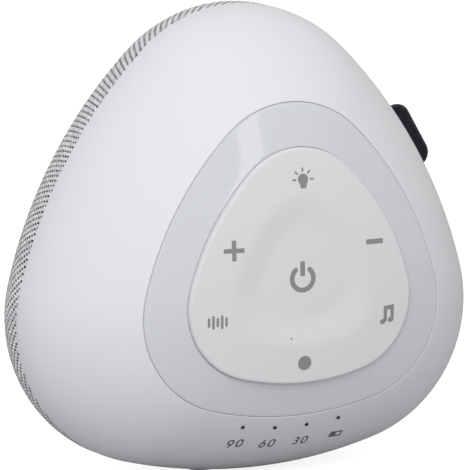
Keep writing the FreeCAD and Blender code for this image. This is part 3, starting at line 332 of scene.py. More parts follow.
# %% Inner finishes
moulded("inner_white", (0.74, 0.74, 0.72), 0.45)
moulded("inner_black", (0.03, 0.03, 0.034), 0.42)
moulded("board_green", (0.015, 0.16, 0.07), 0.32, smear_size=160.0, coat=0.3)
moulded("board_white", (0.78, 0.78, 0.75), 0.35, coat=0.2)
moulded("lamp_yellow", (0.80, 0.66, 0.20), 0.25, subsurface=0.3)
moulded("light_pipe", (0.020, 0.020, 0.022), 0.15)
moulded("steel_zinc", (0.60, 0.61, 0.63), 0.30, metallic=1.0, smear_size=220.0, roughness_drift=0.15)
moulded("magnet_ferrite", (0.06, 0.06, 0.065), 0.7, grain_depth=0.02 * MM)
moulded("copper_winding", (0.72, 0.34, 0.16), 0.28, metallic=1.0)
moulded("cone_paper", (0.045, 0.045, 0.047), 0.85, grain_size=900.0, grain_depth=0.05 * MM)
moulded("surround_foam", (0.02, 0.02, 0.02), 0.6)
moulded("spider_cloth", (0.62, 0.44, 0.17), 0.8, grain_size=1500.0, grain_depth=0.05 * MM)
moulded("foam_grey", (0.15, 0.15, 0.15), 0.9, grain_size=1200.0, grain_depth=0.06 * MM)
moulded("cell_wrap", (0.05, 0.16, 0.46), 0.22, coat=0.4)
moulded("port_steel", (0.72, 0.72, 0.73), 0.22, metallic=1.0, smear_size=400.0)
moulded("foot_rubber", (0.74, 0.74, 0.76), 0.6, grain_size=1800.0, grain_depth=0.03 * MM)
moulded("lead_red", (0.55, 0.03, 0.02), 0.4)
moulded("lead_black", (0.02, 0.02, 0.02), 0.4)
for subpart in frame["record"]["subparts"]:
    node = frame["nodes"][subpart["node"]]
    node.data.materials.clear()
    node.data.materials.append(FINISHES[subpart["material_slot"]])
print("finishes", len(FINISHES))

# %% [markdown]
# The whole body follows one outline of six arcs, three round the corners and three along the
# sides. Front and back are that outline drawn smaller and smaller while it moves in or out. So a
# point is known by its turn round the middle, its depth, and its share of the full outline.

# %% The outline
CORNER_CENTRE = 23.24 * MM
CORNER_RADIUS = 31.76 * MM
SIDE_CENTRE = 60.05 * MM
SIDE_RADIUS = CORNER_RADIUS + math.sqrt(
    CORNER_CENTRE ** 2 + SIDE_CENTRE ** 2 + CORNER_CENTRE * SIDE_CENTRE)
SIDE_REACH = SIDE_RADIUS - SIDE_CENTRE
THIRD = math.pi / 3
# The corner's arc meets the side's arc at this angle from the corner's middle.
meeting = Vector((CORNER_CENTRE + SIDE_CENTRE / 2, SIDE_CENTRE * math.sin(THIRD))).normalized()
CORNER_LIMIT = math.atan2(meeting.y * CORNER_RADIUS, CORNER_CENTRE + meeting.x * CORNER_RADIUS)


def outline_reach(turn):
    """Distance from the middle to the full outline, at an angle measured from +X towards +Z."""
    off = (turn - math.pi / 2 + THIRD) % (2 * THIRD) - THIRD
    if abs(off) <= CORNER_LIMIT:
        across = CORNER_CENTRE * math.sin(off)
        return CORNER_CENTRE * math.cos(off) + math.sqrt(CORNER_RADIUS ** 2 - across ** 2)
    from_side = THIRD - abs(off)
    across = SIDE_CENTRE * math.sin(from_side)
    return math.sqrt(SIDE_RADIUS ** 2 - across ** 2) - SIDE_CENTRE * math.cos(from_side)


def share_at(x, z):
    """Share of the outline on which a point of the front view lies; z is from the middle."""
    return math.hypot(x, z) / outline_reach(math.atan2(z, x))


corner_reach = outline_reach(math.pi / 2)
print("reach to a side", round(SIDE_REACH / MM, 2), "and to a corner", round(corner_reach / MM, 2))

# %% [markdown]
# The front shell, the light ring and the cloth follow that rule from edge to edge. Each starts as
# a flat sheet whose corners hold turn, depth and share in place of x, y and z. A Geometry Nodes
# tree turns these numbers into real places and closes the sheet where its ends meet.

# %% Outline sweep tree
MERGE_DISTANCE = 0.002 * MM


def build_sweep_tree():
    numbers = {"Corner Centre": CORNER_CENTRE, "Corner Radius": CORNER_RADIUS, "Side Centre": SIDE_CENTRE,
               "Side Radius": SIDE_RADIUS, "Corner Limit": CORNER_LIMIT, "Centre Height": CENTRE_HEIGHT}
    tree, given, result = new_group(
        "outline_sweep", "GeometryNodeTree",
        [("Geometry", GEOMETRY), *((label, FLOAT, number) for label, number in numbers.items()),
         ("Material", "NodeSocketMaterial")], [("Geometry", GEOMETRY)])
    calc = partial(math_node, tree)
    times, minus = partial(calc, "MULTIPLY"), partial(calc, "SUBTRACT")
    position = add_node(tree, "GeometryNodeInputPosition").outputs[0]
    turn, depth, share = add_node(tree, "ShaderNodeSeparateXYZ", {0: position}).outputs
    off = calc("ABSOLUTE", calc("WRAP", minus(turn, math.pi / 2), THIRD, -THIRD))

    def arc_reach(arc_name, angle, sign):
        centre, radius = given[arc_name + " Centre"], given[arc_name + " Radius"]
        across = times(centre, calc("SINE", angle))
        under_root = minus(times(radius, radius), times(across, across))
        ahead = times(centre, calc("COSINE", angle))
        return calc("MULTIPLY_ADD", ahead, sign, calc("SQRT", under_root))

    to_corner = arc_reach("Corner", off, 1.0)
    to_side = arc_reach("Side", minus(THIRD, off), -1.0)
    on_side = calc("GREATER_THAN", off, given["Corner Limit"])
    reach = calc("MULTIPLY_ADD", on_side, minus(to_side, to_corner), to_corner)
    distance = times(share, reach)
    place = add_node(tree, "ShaderNodeCombineXYZ", {
        0: times(distance, calc("COSINE", turn)), 1: depth,
        2: calc("MULTIPLY_ADD", distance, calc("SINE", turn), given["Centre Height"])})
    moved = add_node(tree, "GeometryNodeSetPosition", {
        "Geometry": given["Geometry"], "Position": place.outputs[0]})
    closed = add_node(tree, "GeometryNodeMergeByDistance", {
        "Geometry": moved.outputs[0], "Distance": MERGE_DISTANCE})
    real = add_node(tree, "GeometryNodeRealizeInstances", {0: closed.outputs[0]})
    finish = add_node(tree, "GeometryNodeSetMaterial", {
        "Geometry": real.outputs[0], "Material": given["Material"]})
    feed(result[0], finish.outputs[0])
    return tree


SWEEP = build_sweep_tree()
print("outline sweep nodes", len(SWEEP.nodes))

# %% [markdown]
# Whatever makes a piece, a modifier or a list of corners, it ends as a plain mesh with its faces
# outwards and smooth shading between real edges.

# %% Making plain pieces
SHARP_ANGLE = math.radians(35)


def baked(piece, name):
    """The plain mesh that the piece's modifiers make; the modifiers go."""
    evaluated = piece.evaluated_get(bpy.context.evaluated_depsgraph_get())
    made = bpy.data.meshes.new_from_object(evaluated)
    made.name = name
    piece.modifiers.clear()
    return made


def tidy_normals(piece):
    """Point every face outwards and shade smoothly, apart from real edges."""
    form = bmesh.new()
    form.from_mesh(piece.data)
    bmesh.ops.recalc_face_normals(form, faces=form.faces)
    form.to_mesh(piece.data)
    form.free()
    piece.data.shade_smooth()
    piece.data.set_sharp_from_angle(angle=SHARP_ANGLE)
    piece.data.update()


def solid(name, points, faces, slot=None):
    """New object from corners and faces, its faces outwards."""
    mesh = bpy.data.meshes.new(name)
    mesh.from_pydata(points, [], faces)
    if slot:
        mesh.materials.append(FINISHES[slot])
    piece = link_object(name, mesh)
    tidy_normals(piece)
    return piece


# %% [markdown]
# Most shapes start as a flat line: arcs, bars with round ends, curves and rounded corners. A block
# stands straight on its line, and a swept piece carries its line round the outline.

# %% Flat outlines and profiles


def polar(radius, degrees, x=0.0, z=0.0):
    turn = math.radians(degrees)
    return x + radius * math.cos(turn), z + radius * math.sin(turn)


def arc(x, z, radius, start, end, steps):
    """Points along a circle between two angles in degrees."""
    return [polar(radius, start + (end - start) * step / steps, x, z) for step in range(steps + 1)]


def circle(radius, x=0.0, z=0.0, sides=40):
    return arc(x, z, radius, 0, 360, sides)[:-1]


def stroke(start, end, width, steps=8):
    """Bar with round ends, from start to end."""
    lean = math.degrees(math.atan2(end[1] - start[1], end[0] - start[0]))
    return (arc(*end, width / 2, lean - 90, lean + 90, steps)
            + arc(*start, width / 2, lean + 90, lean + 270, steps))


def stadium(width, height, steps=12):
    """Outline of a slot with round ends."""
    straight = (width - height) / 2
    return stroke((-straight, 0.0), (straight, 0.0), height, steps)


def prism(name, outline, start, end, x=0.0, z=0.0, slot=None):
    """Closed straight block with an (x, z) outline between two depths."""
    count = len(outline)
    points = [(x + px, depth, CENTRE_HEIGHT + z + pz) for depth in (start, end) for px, pz in outline]
    faces = [tuple(range(count)), tuple(range(2 * count - 1, count - 1, -1))]
    faces += [((side + 1) % count, side, side + count, (side + 1) % count + count) for side in range(count)]
    return solid(name, points, faces, slot)


def bezier_point(handles, along):
    left = 1 - along
    weights = (left ** 3, 3 * left ** 2 * along, 3 * left * along ** 2, along ** 3)
    return tuple(sum(w * h[axis] for w, h in zip(weights, handles)) for axis in (0, 1))


def rounded(corners, steps=5):
    """Line through (share, depth) corners; a corner with a third number is rounded to it."""
    places = [Vector((corner[0] * SIDE_REACH, corner[1])) for corner in corners]
    line = []
    for number, (here, corner) in enumerate(zip(places, corners)):
        if len(corner) == 2:
            line.append(here)
            continue
        start, end = [here + (other - here).normalized() * corner[2]
                      for other in (places[number - 1], places[(number + 1) % len(places)])]
        for step in range(steps + 1):
            along = step / steps
            line.append(start * (1 - along) ** 2 + here * (2 * along * (1 - along)) + end * along ** 2)
    return [(point.x / SIDE_REACH, point.y) for point in line]


def search(low, high, go_up):
    """Halve the way from low to high, towards the value at which go_up stops being true."""
    for _ in range(40):
        middle = (low + high) / 2
        if go_up(middle):
            low = middle
        else:
            high = middle
    return low


def sweep(name, profile, columns, slot, closed=True):
    """Sweep a (share, depth) line round the outline; a closed line makes a closed solid."""
    line = profile + profile[:1] if closed else profile
    run = [0.0]
    for before, after in zip(line, line[1:]):
        run.append(run[-1] + math.hypot((after[0] - before[0]) * SIDE_REACH, after[1] - before[1]))
    points = [(2 * math.pi * column / columns, depth, share)
              for column in range(columns + 1) for share, depth in line]
    rows = len(line)
    corners = [column * rows + row for column in range(columns) for row in range(rows - 1)]
    faces = [(corner, corner + 1, corner + rows + 1, corner + rows) for corner in corners]
    mesh = bpy.data.meshes.new(name + "_flat")
    mesh.from_pydata(points, [], faces)
    mesh.attributes.new("run", "FLOAT", "POINT").data.foreach_set("value", run * (columns + 1))
    source = link_object(name + "_source", mesh)
    modifier = source.modifiers.new("tree", "NODES")
    modifier.node_group = SWEEP
    given = {item.name: item.identifier for item in SWEEP.interface.items_tree if item.in_out == "INPUT"}
    modifier[given["Material"]] = FINISHES[slot]
    piece = link_object(name, baked(source, name))
    bpy.data.objects.remove(source)
    piece.data.materials.clear()
    piece.data.materials.append(FINISHES[slot])
    tidy_normals(piece)
    return piece


# %% [markdown]
# The front shell curves in from the seam to the lip that holds the light ring. Its edges are
# slightly rounded, so they catch a thin line of light. The wall behind is modelled too.

# %% Front shell
SEAM_DEPTH = 3.2 * MM
SEAM_GAP = 0.12 * MM
SHELL_WALL = 2.2 * MM
LIP_SHARE = 0.653
LIP_DEPTH = 30.6 * MM
FRONT_HANDLES = ((1.0, -SEAM_DEPTH), (1.0, -15.5 * MM), (0.80, -25.5 * MM), (LIP_SHARE, -LIP_DEPTH))
EDGE_ROUND = 0.5 * MM
FRONT_ROWS = 84
FRONT_COLUMNS = 360
INNER_ROWS = 24
LIP_ROUND = 0.42 * MM
WALL_SHARE = SHELL_WALL / SIDE_REACH


def front_depth(share):
    """Depth of the front shell's outside at a share of the outline."""
    along = search(0.0, 1.0, lambda middle: bezier_point(FRONT_HANDLES, middle)[0] > share)
    return bezier_point(FRONT_HANDLES, along)[1]


def front_profile():
    outer = [bezier_point(FRONT_HANDLES, step / FRONT_ROWS) for step in range(FRONT_ROWS + 1)]
    outer = [point for point in outer if point[1] < -SEAM_DEPTH - 2 * EDGE_ROUND][:-1]
    inner_handles = tuple(
        (share - fall * WALL_SHARE, depth + rise)
        for (share, depth), fall, rise in zip(
            FRONT_HANDLES, (1, 1, 0.7, 0.6), (0, 0.4 * SHELL_WALL, 0.8 * SHELL_WALL, SHELL_WALL)))
    inner = [bezier_point(inner_handles, 1 - step / INNER_ROWS) for step in range(1, INNER_ROWS + 1)]
    rim = [(1 - WALL_SHARE, -SEAM_DEPTH - SEAM_GAP), (1.0, -SEAM_DEPTH - SEAM_GAP, EDGE_ROUND)]
    lip = [(LIP_SHARE, -LIP_DEPTH, LIP_ROUND), (LIP_SHARE, -LIP_DEPTH + SHELL_WALL)]
    return rounded(rim + outer + lip + [point for point in inner if point[1] < -SEAM_DEPTH - SEAM_GAP])


front_shell = sweep("front_shell_moulding", front_profile(), FRONT_COLUMNS, "shell_white")

# %% [markdown]
# Four pinholes let the indicator lamps shine through the lower edge. The Boolean modifier takes
# small round blocks out of the shell.

# %% Indicator pinholes
INDICATOR_PLACES = ((-11.09, -31.9), (-3.68, -32.67), (3.68, -32.67), (11.09, -31.9))
INDICATOR_RADIUS = 0.38 * MM


def cut_away(piece, tools):
    """Take the tools out of the piece and leave a plain mesh."""
    for tool in tools:
        modifier = piece.modifiers.new("cut", "BOOLEAN")
        modifier.operation = "DIFFERENCE"
        modifier.solver = "EXACT"
        modifier.object = tool
    old = piece.data
    piece.data = baked(piece, piece.name)
    bpy.data.meshes.remove(old)
    for tool in tools:
        bpy.data.objects.remove(tool)


pinholes = [
    prism("pinhole_%d" % number, circle(INDICATOR_RADIUS, sides=24), -LIP_DEPTH - 2 * MM, -20 * MM,
          x * MM, z * MM) for number, (x, z) in enumerate(INDICATOR_PLACES)]
cut_away(front_shell, pinholes)
print("front shell faces", len(front_shell.data.polygons))

# %% [markdown]
# The light ring is a shallow dome of glossy plastic between shell and keypad, with a hairline gap
# on both sides. Its rounded edges draw the two bright lines that frame it.

# %% Light ring
RING_GAP = 0.04 * MM / SIDE_REACH
RING_INNER_SHARE = 0.488
RING_INNER_DEPTH = 33.5 * MM
RING_RISE = 0.10 * MM
RING_ROWS = 24
RING_COLUMNS = 240
RING_ROUND = 0.35 * MM
RING_MARGIN = 0.02
RING_SKIRT = 3.2 * MM


def ring_depth(share):
    """Depth of the ring's dome, a shallow arch between its two edges."""
    along = (LIP_SHARE - share) / (LIP_SHARE - RING_INNER_SHARE)
    return -(LIP_DEPTH + along * (RING_INNER_DEPTH - LIP_DEPTH)) - 4 * RING_RISE * along * (1 - along)


def ring_profile():
    outer_share = LIP_SHARE - RING_GAP
    crown = []
    for step in range(1, RING_ROWS):
        inward = (RING_INNER_SHARE - outer_share + 2 * RING_MARGIN) * step / RING_ROWS
        crown.append((outer_share - RING_MARGIN + inward, ring_depth(outer_share - RING_MARGIN + inward)))
    floor = -LIP_DEPTH + RING_SKIRT
    return rounded(
        [(outer_share, floor), (outer_share, ring_depth(outer_share), RING_ROUND)] + crown
        + [(RING_INNER_SHARE, ring_depth(RING_INNER_SHARE), RING_ROUND), (RING_INNER_SHARE, floor)])


light_ring = sweep("light_ring_moulding", ring_profile(), RING_COLUMNS, "ring_plastic")
print("light ring faces", len(light_ring.data.polygons))

# %% [markdown]
# The cloth is one sheet pulled over the back and tucked into the seam, with its thickness and a
# rolled edge. The map for the weave unrolls it from the middle of the back outwards, so the
# threads keep their size.

# %% Back fabric
BACK_DEPTH = 20.7 * MM
BACK_ROUND = 20.3 * MM
FABRIC_THICKNESS = 0.9 * MM
FABRIC_PROUD = 0.18 * MM
SEAM_ANGLE = math.radians(9)
BACK_ROWS = 40
FLAT_ROWS = 26
BACK_COLUMNS = 300
EDGE_ROUNDS = (0.42 * MM, 0.2 * MM)
LINING_ROWS = 20
LINING_FLAT_ROWS = 8


def back_point(angle, offset=0.0):
    """(share, depth) on the back at an angle from the seam, set in by offset."""
    share = 1 - (BACK_ROUND * (1 - math.cos(angle)) + offset * math.cos(angle)) / SIDE_REACH
    return share, (BACK_DEPTH - offset) * math.sin(angle)


def fabric_profile():
    """From the middle of the back out over the edge to the seam, and back underneath."""
    flat_share, flat_depth = back_point(math.pi / 2, -FABRIC_PROUD)
    outer = [(flat_share * step / FLAT_ROWS, flat_depth) for step in range(FLAT_ROWS)]
    outer += [back_point(math.pi / 2 * (1 - step / BACK_ROWS), -FABRIC_PROUD)
              for step in range(BACK_ROWS + 1)]
    outer = [point for point in outer if point[1] > -SEAM_DEPTH + 4 * EDGE_ROUND]
    seam_share = back_point(-SEAM_ANGLE, -FABRIC_PROUD)[0]
    edge = [(seam_share, -SEAM_DEPTH + SEAM_GAP, EDGE_ROUNDS[0]),
            (seam_share - FABRIC_THICKNESS / SIDE_REACH, -SEAM_DEPTH + SEAM_GAP, EDGE_ROUNDS[1])]
    inner = [back_point(math.pi / 2 * step / LINING_ROWS, FABRIC_THICKNESS)
             for step in range(LINING_ROWS + 1)]
    inner += [(inner[-1][0] * (1 - step / LINING_FLAT_ROWS), BACK_DEPTH - FABRIC_THICKNESS)
              for step in range(1, LINING_FLAT_ROWS + 1)]
    return rounded(outer + edge + inner)


back_fabric = sweep("back_fabric_sheet", fabric_profile(), BACK_COLUMNS, "fabric_grey", closed=False)


def unroll_map(piece):
    """UV map in metres that unrolls the cloth from the middle of the back."""
    layer = piece.data.uv_layers.new(name="cloth")
    runs = piece.data.attributes["run"].data
    vertices = piece.data.vertices
    for loop in piece.data.loops:
        place = vertices[loop.vertex_index].co
        turn = math.atan2(place.z - CENTRE_HEIGHT, place.x)
        run = runs[loop.vertex_index].value
        layer.data[loop.index].uv = (run * math.cos(turn), run * math.sin(turn))


unroll_map(back_fabric)
PORT_Z = -30.5 * MM
PORT_WIDTH = 9.0 * MM
PORT_HEIGHT = 3.2 * MM
PORT_PLAY = 2.6 * MM
PORT_CUT = (10 * MM, 25 * MM)
port_hole = stadium(PORT_WIDTH + PORT_PLAY, PORT_HEIGHT + PORT_PLAY)
cut_away(back_fabric, [prism("port_opening", port_hole, *PORT_CUT, 0, PORT_Z)])

# %% [markdown]
# The keypad is a shallow dome with a triangular dish in the middle. One formula gives its height.
# Skin, keys and printed signs are all cut from that surface: a flat triangle net is drawn in the
# front view, lifted onto the formula and closed behind. The shading normals come from the formula
# too, so a key and the skin round it shade as one.

# %% Keypad surface
PAD_PEAK = 36.45 * MM
PAD_BALL = 166.7 * MM
PAD_SHARE = RING_INNER_SHARE - 0.04 * MM / SIDE_REACH
PAD_EDGE = 0.5 * MM
PAD_BACK = 32.6 * MM
DISH_DEPTH = 0.9 * MM
DISH_RIM = 0.33
DISH_FLOOR = 0.17


def pad_depth(x, z):
    """Depth of the keypad's face in the front view; z is from the middle."""
    share = share_at(x, z)
    depth = -PAD_PEAK + (x * x + z * z) / (2 * PAD_BALL)
    fall = min(max((DISH_RIM - share) / (DISH_RIM - DISH_FLOOR), 0), 1)
    depth += DISH_DEPTH * fall * fall * (3 - 2 * fall)
    from_edge = (PAD_SHARE - share) * SIDE_REACH
    if from_edge < PAD_EDGE:
        inward = max(from_edge, 0) / PAD_EDGE
        depth += PAD_EDGE * (1 - math.sqrt(max(1 - (1 - inward) ** 2, 0)))
    return depth


def shell_depth(x, z):
    return front_depth(share_at(x, z))


def slope_normal(surface, x, z, step=0.02 * MM):
    """Outward normal of a front surface."""
    by_x = (surface(x + step, z) - surface(x - step, z)) / (2 * step)
    by_z = (surface(x, z + step) - surface(x, z - step)) / (2 * step)
    return Vector((by_x, -1.0, by_z)).normalized()


# %% Cutting pieces from a front surface
NET_ROW = 0.866
NET_EPSILON = 1e-7


def scaled_outline(share, sides=150):
    turns = [360 * side / sides for side in range(sides)]
    return [polar(share * outline_reach(math.radians(turn)), turn) for turn in turns]


def inside_outline(x, z, outline):
    inside = False
    for (ax, az), (bx, bz) in zip(outline, outline[1:] + outline[:1]):
        if (az > z) != (bz > z) and x < (bx - ax) * (z - az) / (bz - az) + ax:
            inside = not inside
    return inside


def front_slab(name, outlines, surface, slot, pitch, back, proud=0.0, holes=(), extra=()):
    """Solid whose face is a front surface inside the outlines and whose back is flat or parallel.

    proud lifts the face off the surface; back is a depth, or a function of x and z.
    """
    points, loops = [], []
    for outline in [*outlines, *holes]:
        loops.append(list(range(len(points), len(points) + len(outline))))
        points.extend(outline)
    (low_x, high_x), (low_z, high_z) = [(min(values), max(values)) for values in zip(*points)]
    points.extend(extra)
    row_step = pitch * NET_ROW
    for row in range(1, int((high_z - low_z) / row_step) + 1):
        for column in range(int((high_x - low_x) / pitch) + 2):
            points.append((low_x + (column + 0.5 * (row % 2)) * pitch, low_z + row * row_step))
    flat = delaunay_2d_cdt([Vector(point) for point in points], [], loops, 1, NET_EPSILON)
    vertices, triangles = flat[0], flat[2]
    kept = []
    for tri in map(tuple, triangles):
        corners = [vertices[index] for index in tri]
        middle = sum(corners, Vector((0, 0))) / 3
        drawn, left_out = [any(inside_outline(middle.x, middle.y, line) for line in lines)
                           for lines in (outlines, holes)]
        if drawn and not left_out:
            turned = (corners[1] - corners[0]).cross(corners[2] - corners[0]) > 0
            kept.append(tri if turned else tri[::-1])
    used = sorted({index for tri in kept for index in tri})
    renumber = {old: new for new, old in enumerate(used)}
    kept = [tuple(renumber[index] for index in tri) for tri in kept]
    net = [vertices[index] for index in used]
    count = len(net)
    behind = back if callable(back) else lambda x, z: back
    places = [(p.x, surface(p.x, p.y) - proud, CENTRE_HEIGHT + p.y) for p in net]
    places += [(p.x, behind(p.x, p.y), CENTRE_HEIGHT + p.y) for p in net]
    faces = kept + [tuple(index + count for index in tri[::-1]) for tri in kept]
    edges = dict.fromkeys(edge for tri in kept for edge in zip(tri, tri[1:] + tri[:1]))
    faces += [(end, start, start + count, end + count) for start, end in edges if (end, start) not in edges]
    mesh = bpy.data.meshes.new(name)
    mesh.from_pydata(places, [], faces)
    mesh.materials.append(FINISHES[slot])
    mesh.shade_smooth()
    mesh.set_sharp_from_angle(angle=SHARP_ANGLE)
    normals = [slope_normal(surface, p.x, p.y) for p in net]
    corner_normals = [normal.vector.copy() for normal in mesh.corner_normals]
    for face in mesh.polygons[:len(kept)]:
        for loop_index in face.loop_indices:
            corner_normals[loop_index] = normals[mesh.loops[loop_index].vertex_index]
    mesh.normals_split_custom_set(corner_normals)
    return link_object(name, mesh)


# %% Keys and skin
KEY_RADIUS = 3.08 * MM
KEY_SEAM = 0.005 * MM
POWER_SHARE = 0.25
POWER_SIDES = 96
KEY_PLACES = {
    "volume_down": (15.98 * MM, 6.55 * MM),
    "volume_up": (-15.98 * MM, 6.55 * MM),
    "white_noise": (-19.51 * MM, -8.53 * MM),
    "lullaby": (19.51 * MM, -8.53 * MM),
    "night_light": (0.0, 20.5 * MM),
    "record": (0.0, -17.96 * MM),
}
MIC_PLACE = (-3.09 * MM, -12.7 * MM)
MIC_RADIUS = 0.21 * MM
PAD_PITCH = 0.62 * MM
POWER_PITCH = 0.45 * MM
SKIN_PITCH = 0.5 * MM
EDGE_ROWS = (0.9975, 0.993, 0.986, 0.977, 0.965)
on_pad = partial(front_slab, surface=pad_depth, slot="keypad_silicone", back=-PAD_BACK)
key_tops = {name: on_pad(name + "_key_top", [circle(KEY_RADIUS, x, z)], pitch=PAD_PITCH)
            for name, (x, z) in KEY_PLACES.items()}
key_tops["power"] = on_pad("power_key_top", [scaled_outline(POWER_SHARE, POWER_SIDES)], pitch=POWER_PITCH)
key_holes = [circle(KEY_RADIUS + KEY_SEAM, x, z) for x, z in KEY_PLACES.values()]
key_holes += [scaled_outline(POWER_SHARE + KEY_SEAM / SIDE_REACH, POWER_SIDES),
              circle(MIC_RADIUS, *MIC_PLACE, sides=20)]
edge_rows = [point for share in EDGE_ROWS for point in scaled_outline(PAD_SHARE * share)]
keypad_skin = on_pad("keypad_silicone_skin", [scaled_outline(PAD_SHARE)], pitch=SKIN_PITCH, holes=key_holes,
                     extra=edge_rows)
print("keypad skin faces", len(keypad_skin.data.polygons))

# %% [markdown]
# The signs on the keys are printed: plus and minus, a lamp, the bars of a sound wave, a note, a
# dot and the power sign. Each is a very thin film built from rounded strokes, and rides on its own
# key.

# %% Strokes for signs


def arc_stroke(radius, width, start, end, x=0.0, z=0.0, steps=40, end_steps=8):
    """Bar with round ends, bent along a circle between two angles in degrees."""
    half = width / 2
    first, last = arc(x, z, radius, start, end, 1)
    return (arc(x, z, radius + half, start, end, steps) + arc(*last, half, end, end + 180, end_steps)[1:-1]
            + arc(x, z, radius - half, end, start, steps)
            + arc(*first, half, start + 180, start + 360, end_steps)[1:-1])


def ellipse(x, z, long_radius, short_radius, lean, steps=28):
    turn = Matrix.Rotation(math.radians(lean), 2)
    points = []
    for px, pz in circle(1, sides=steps):
        flat = Vector((long_radius * px, short_radius * pz))
        flat.rotate(turn)
        points.append((x + flat.x, z + flat.y))
    return points


def rounded_box(left, right, low, high, radius=0.18, steps=4):
    corners = ((right - radius, low + radius), (right - radius, high - radius),
               (left + radius, high - radius), (left + radius, low + radius))
    return [point for number, corner in enumerate(corners)
            for point in arc(*corner, radius, 90 * number - 90, 90 * number, steps)]


# %% Signs on the keys
BULB = arc(0, 0, 1.17, -42, 222, 22) + [
    (-0.74, -1.05), (-0.70, -1.62), (-0.50, -1.86), (0.50, -1.86), (0.70, -1.62), (0.74, -1.05)]
BULB_RAYS = [stroke(polar(1.72, turn), polar(2.26, turn), 0.40) for turn in (0, 47, 91, 138, 182)]
WAVE_HEIGHTS = (1.98, 2.9, 1.95, 2.9, 1.98)
WAVE_STEP = 0.93
WAVE_WIDTH = 0.54
SIGNS = {
    "volume_up": ((0.19, 0.0), [rounded_box(-2.22, 2.22, -0.47, 0.47),
                                rounded_box(-0.47, 0.47, -2.15, 2.15)]),
    "volume_down": ((0.32, -0.19), [rounded_box(-2.05, 2.05, -0.53, 0.53)]),
    "night_light": ((0.05, -0.2), [BULB] + BULB_RAYS),
    "white_noise": ((0.1, 0.5), [
        stroke((side * WAVE_STEP, WAVE_WIDTH / 2 - height / 2),
               (side * WAVE_STEP, height / 2 - WAVE_WIDTH / 2), WAVE_WIDTH)
        for side, height in enumerate(WAVE_HEIGHTS, -2)]),
    "lullaby": ((-0.1, -0.9), [
        [(-0.84, 1.85), (1.69, 2.05), (1.69, 1.12), (-0.84, 0.92)],
        rounded_box(-0.84, 0.0, -1.48, 1.83, 0.02, 1), rounded_box(0.86, 1.69, -1.18, 2.0, 0.02, 1),
        ellipse(-1.0, -1.44, 0.72, 0.57, 15), ellipse(0.96, -1.14, 0.72, 0.57, 15)]),
    "record": ((0.0, -0.1), [circle(1.53, sides=32)]),
    "power": ((-0.34, -0.28), [arc_stroke(2.42, 1.05, 90 + 41, 450 - 41),
                               rounded_box(-0.54, 0.54, 0.5, 3.6, 0.3)]),
}
PRINT_PROUD = 0.012 * MM
PRINT_SUNK = 0.03 * MM
PRINT_PITCH = 0.4 * MM


def printed(name, outlines, x, z, surface, ink):
    """Film of ink on a front surface, with its outlines in mm from (x, z)."""
    placed = [[(px * MM + x, pz * MM + z) for px, pz in outline] for outline in outlines]
    return front_slab(name, placed, surface, ink, PRINT_PITCH, lambda x, z: surface(x, z) + PRINT_SUNK,
                      PRINT_PROUD)


signs = {}
for name, ((shift_x, shift_z), outlines) in SIGNS.items():
    key_x, key_z = KEY_PLACES.get(name, (0.0, 0.0))
    signs[name] = printed(name + "_sign", outlines, key_x + shift_x * MM, key_z + shift_z * MM,
                          pad_depth, "icon_ink")
print("signs", len(signs))

# %% [markdown]
# Below the pinholes stand the timer's plain numbers and a small battery sign, drawn with the same
# strokes: arcs for the bowls and straight bars for the legs.

# %% Numbers and battery sign on the shell
DIGIT_HEIGHT = 2.15
DIGIT_WIDTH = 1.5
DIGIT_STROKE = 0.38
DIGIT_STEP = 2.02
DIGIT_REACH = (DIGIT_WIDTH - DIGIT_STROKE) / 2
LOW_BOWL = DIGIT_STROKE / 2 + DIGIT_REACH
HIGH_BOWL = DIGIT_HEIGHT - LOW_BOWL


def bowl(radius, start, end, z, steps=16):
    return arc_stroke(radius, DIGIT_STROKE, start, end, 0, z, steps, 4)


def leg(start, end):
    return stroke(start, end, DIGIT_STROKE, 4)


def zero():
    sides = [leg((x, LOW_BOWL), (x, HIGH_BOWL)) for x in (-DIGIT_REACH, DIGIT_REACH)]
    return [bowl(DIGIT_REACH, 0, 180, HIGH_BOWL), bowl(DIGIT_REACH, 180, 360, LOW_BOWL)] + sides


def six():
    return [bowl(DIGIT_REACH, 0, 180, LOW_BOWL), bowl(DIGIT_REACH, 180, 360, LOW_BOWL),
            leg((-DIGIT_REACH * 0.94, LOW_BOWL + DIGIT_REACH * 0.35),
                (DIGIT_REACH * 0.25, DIGIT_HEIGHT - DIGIT_STROKE / 2))]


def nine():
    return [[(-x, DIGIT_HEIGHT - z) for x, z in outline] for outline in six()]


def three():
    reach = (DIGIT_HEIGHT - DIGIT_STROKE) / 4
    return [bowl(reach, -90, 140, 3 * reach + DIGIT_STROKE / 2, 18),
            bowl(reach, -140, 90, reach + DIGIT_STROKE / 2, 18)]


def battery():
    """Long box: its left half is full and its right half is an outline."""
    return [rounded_box(-1.55, 0.05, 0.3, 1.8, 0.12), rounded_box(0.0, 1.5, 0.3, 0.68, 0.1),
            rounded_box(0.0, 1.5, 1.42, 1.8, 0.1), rounded_box(1.15, 1.55, 0.4, 1.7, 0.1)]


LABELS = {
    "label_90": ((-11.1, -36.21), [(nine(), -0.5), (zero(), 0.5)]),
    "label_60": ((-3.6, -36.93), [(six(), -0.5), (zero(), 0.5)]),
    "label_30": ((4.2, -37.02), [(three(), -0.5), (zero(), 0.5)]),
    "label_battery": ((12.75, -36.5), [(battery(), 0.0)]),
}
labels = []
for name, ((label_x, label_z), glyphs) in LABELS.items():
    outlines = [[(px + side * DIGIT_STEP, pz - DIGIT_HEIGHT / 2) for px, pz in outline]
                for glyph, side in glyphs for outline in glyph]
    labels.append(printed(name, outlines, label_x * MM, label_z * MM, shell_depth, "label_ink"))
print("labels", len(labels))

# %% [markdown]
# The hang loop is a strip of woven tape, folded over and held inside the seam. It is built as it
# lies: out along the front layer, round the fold, and back in.

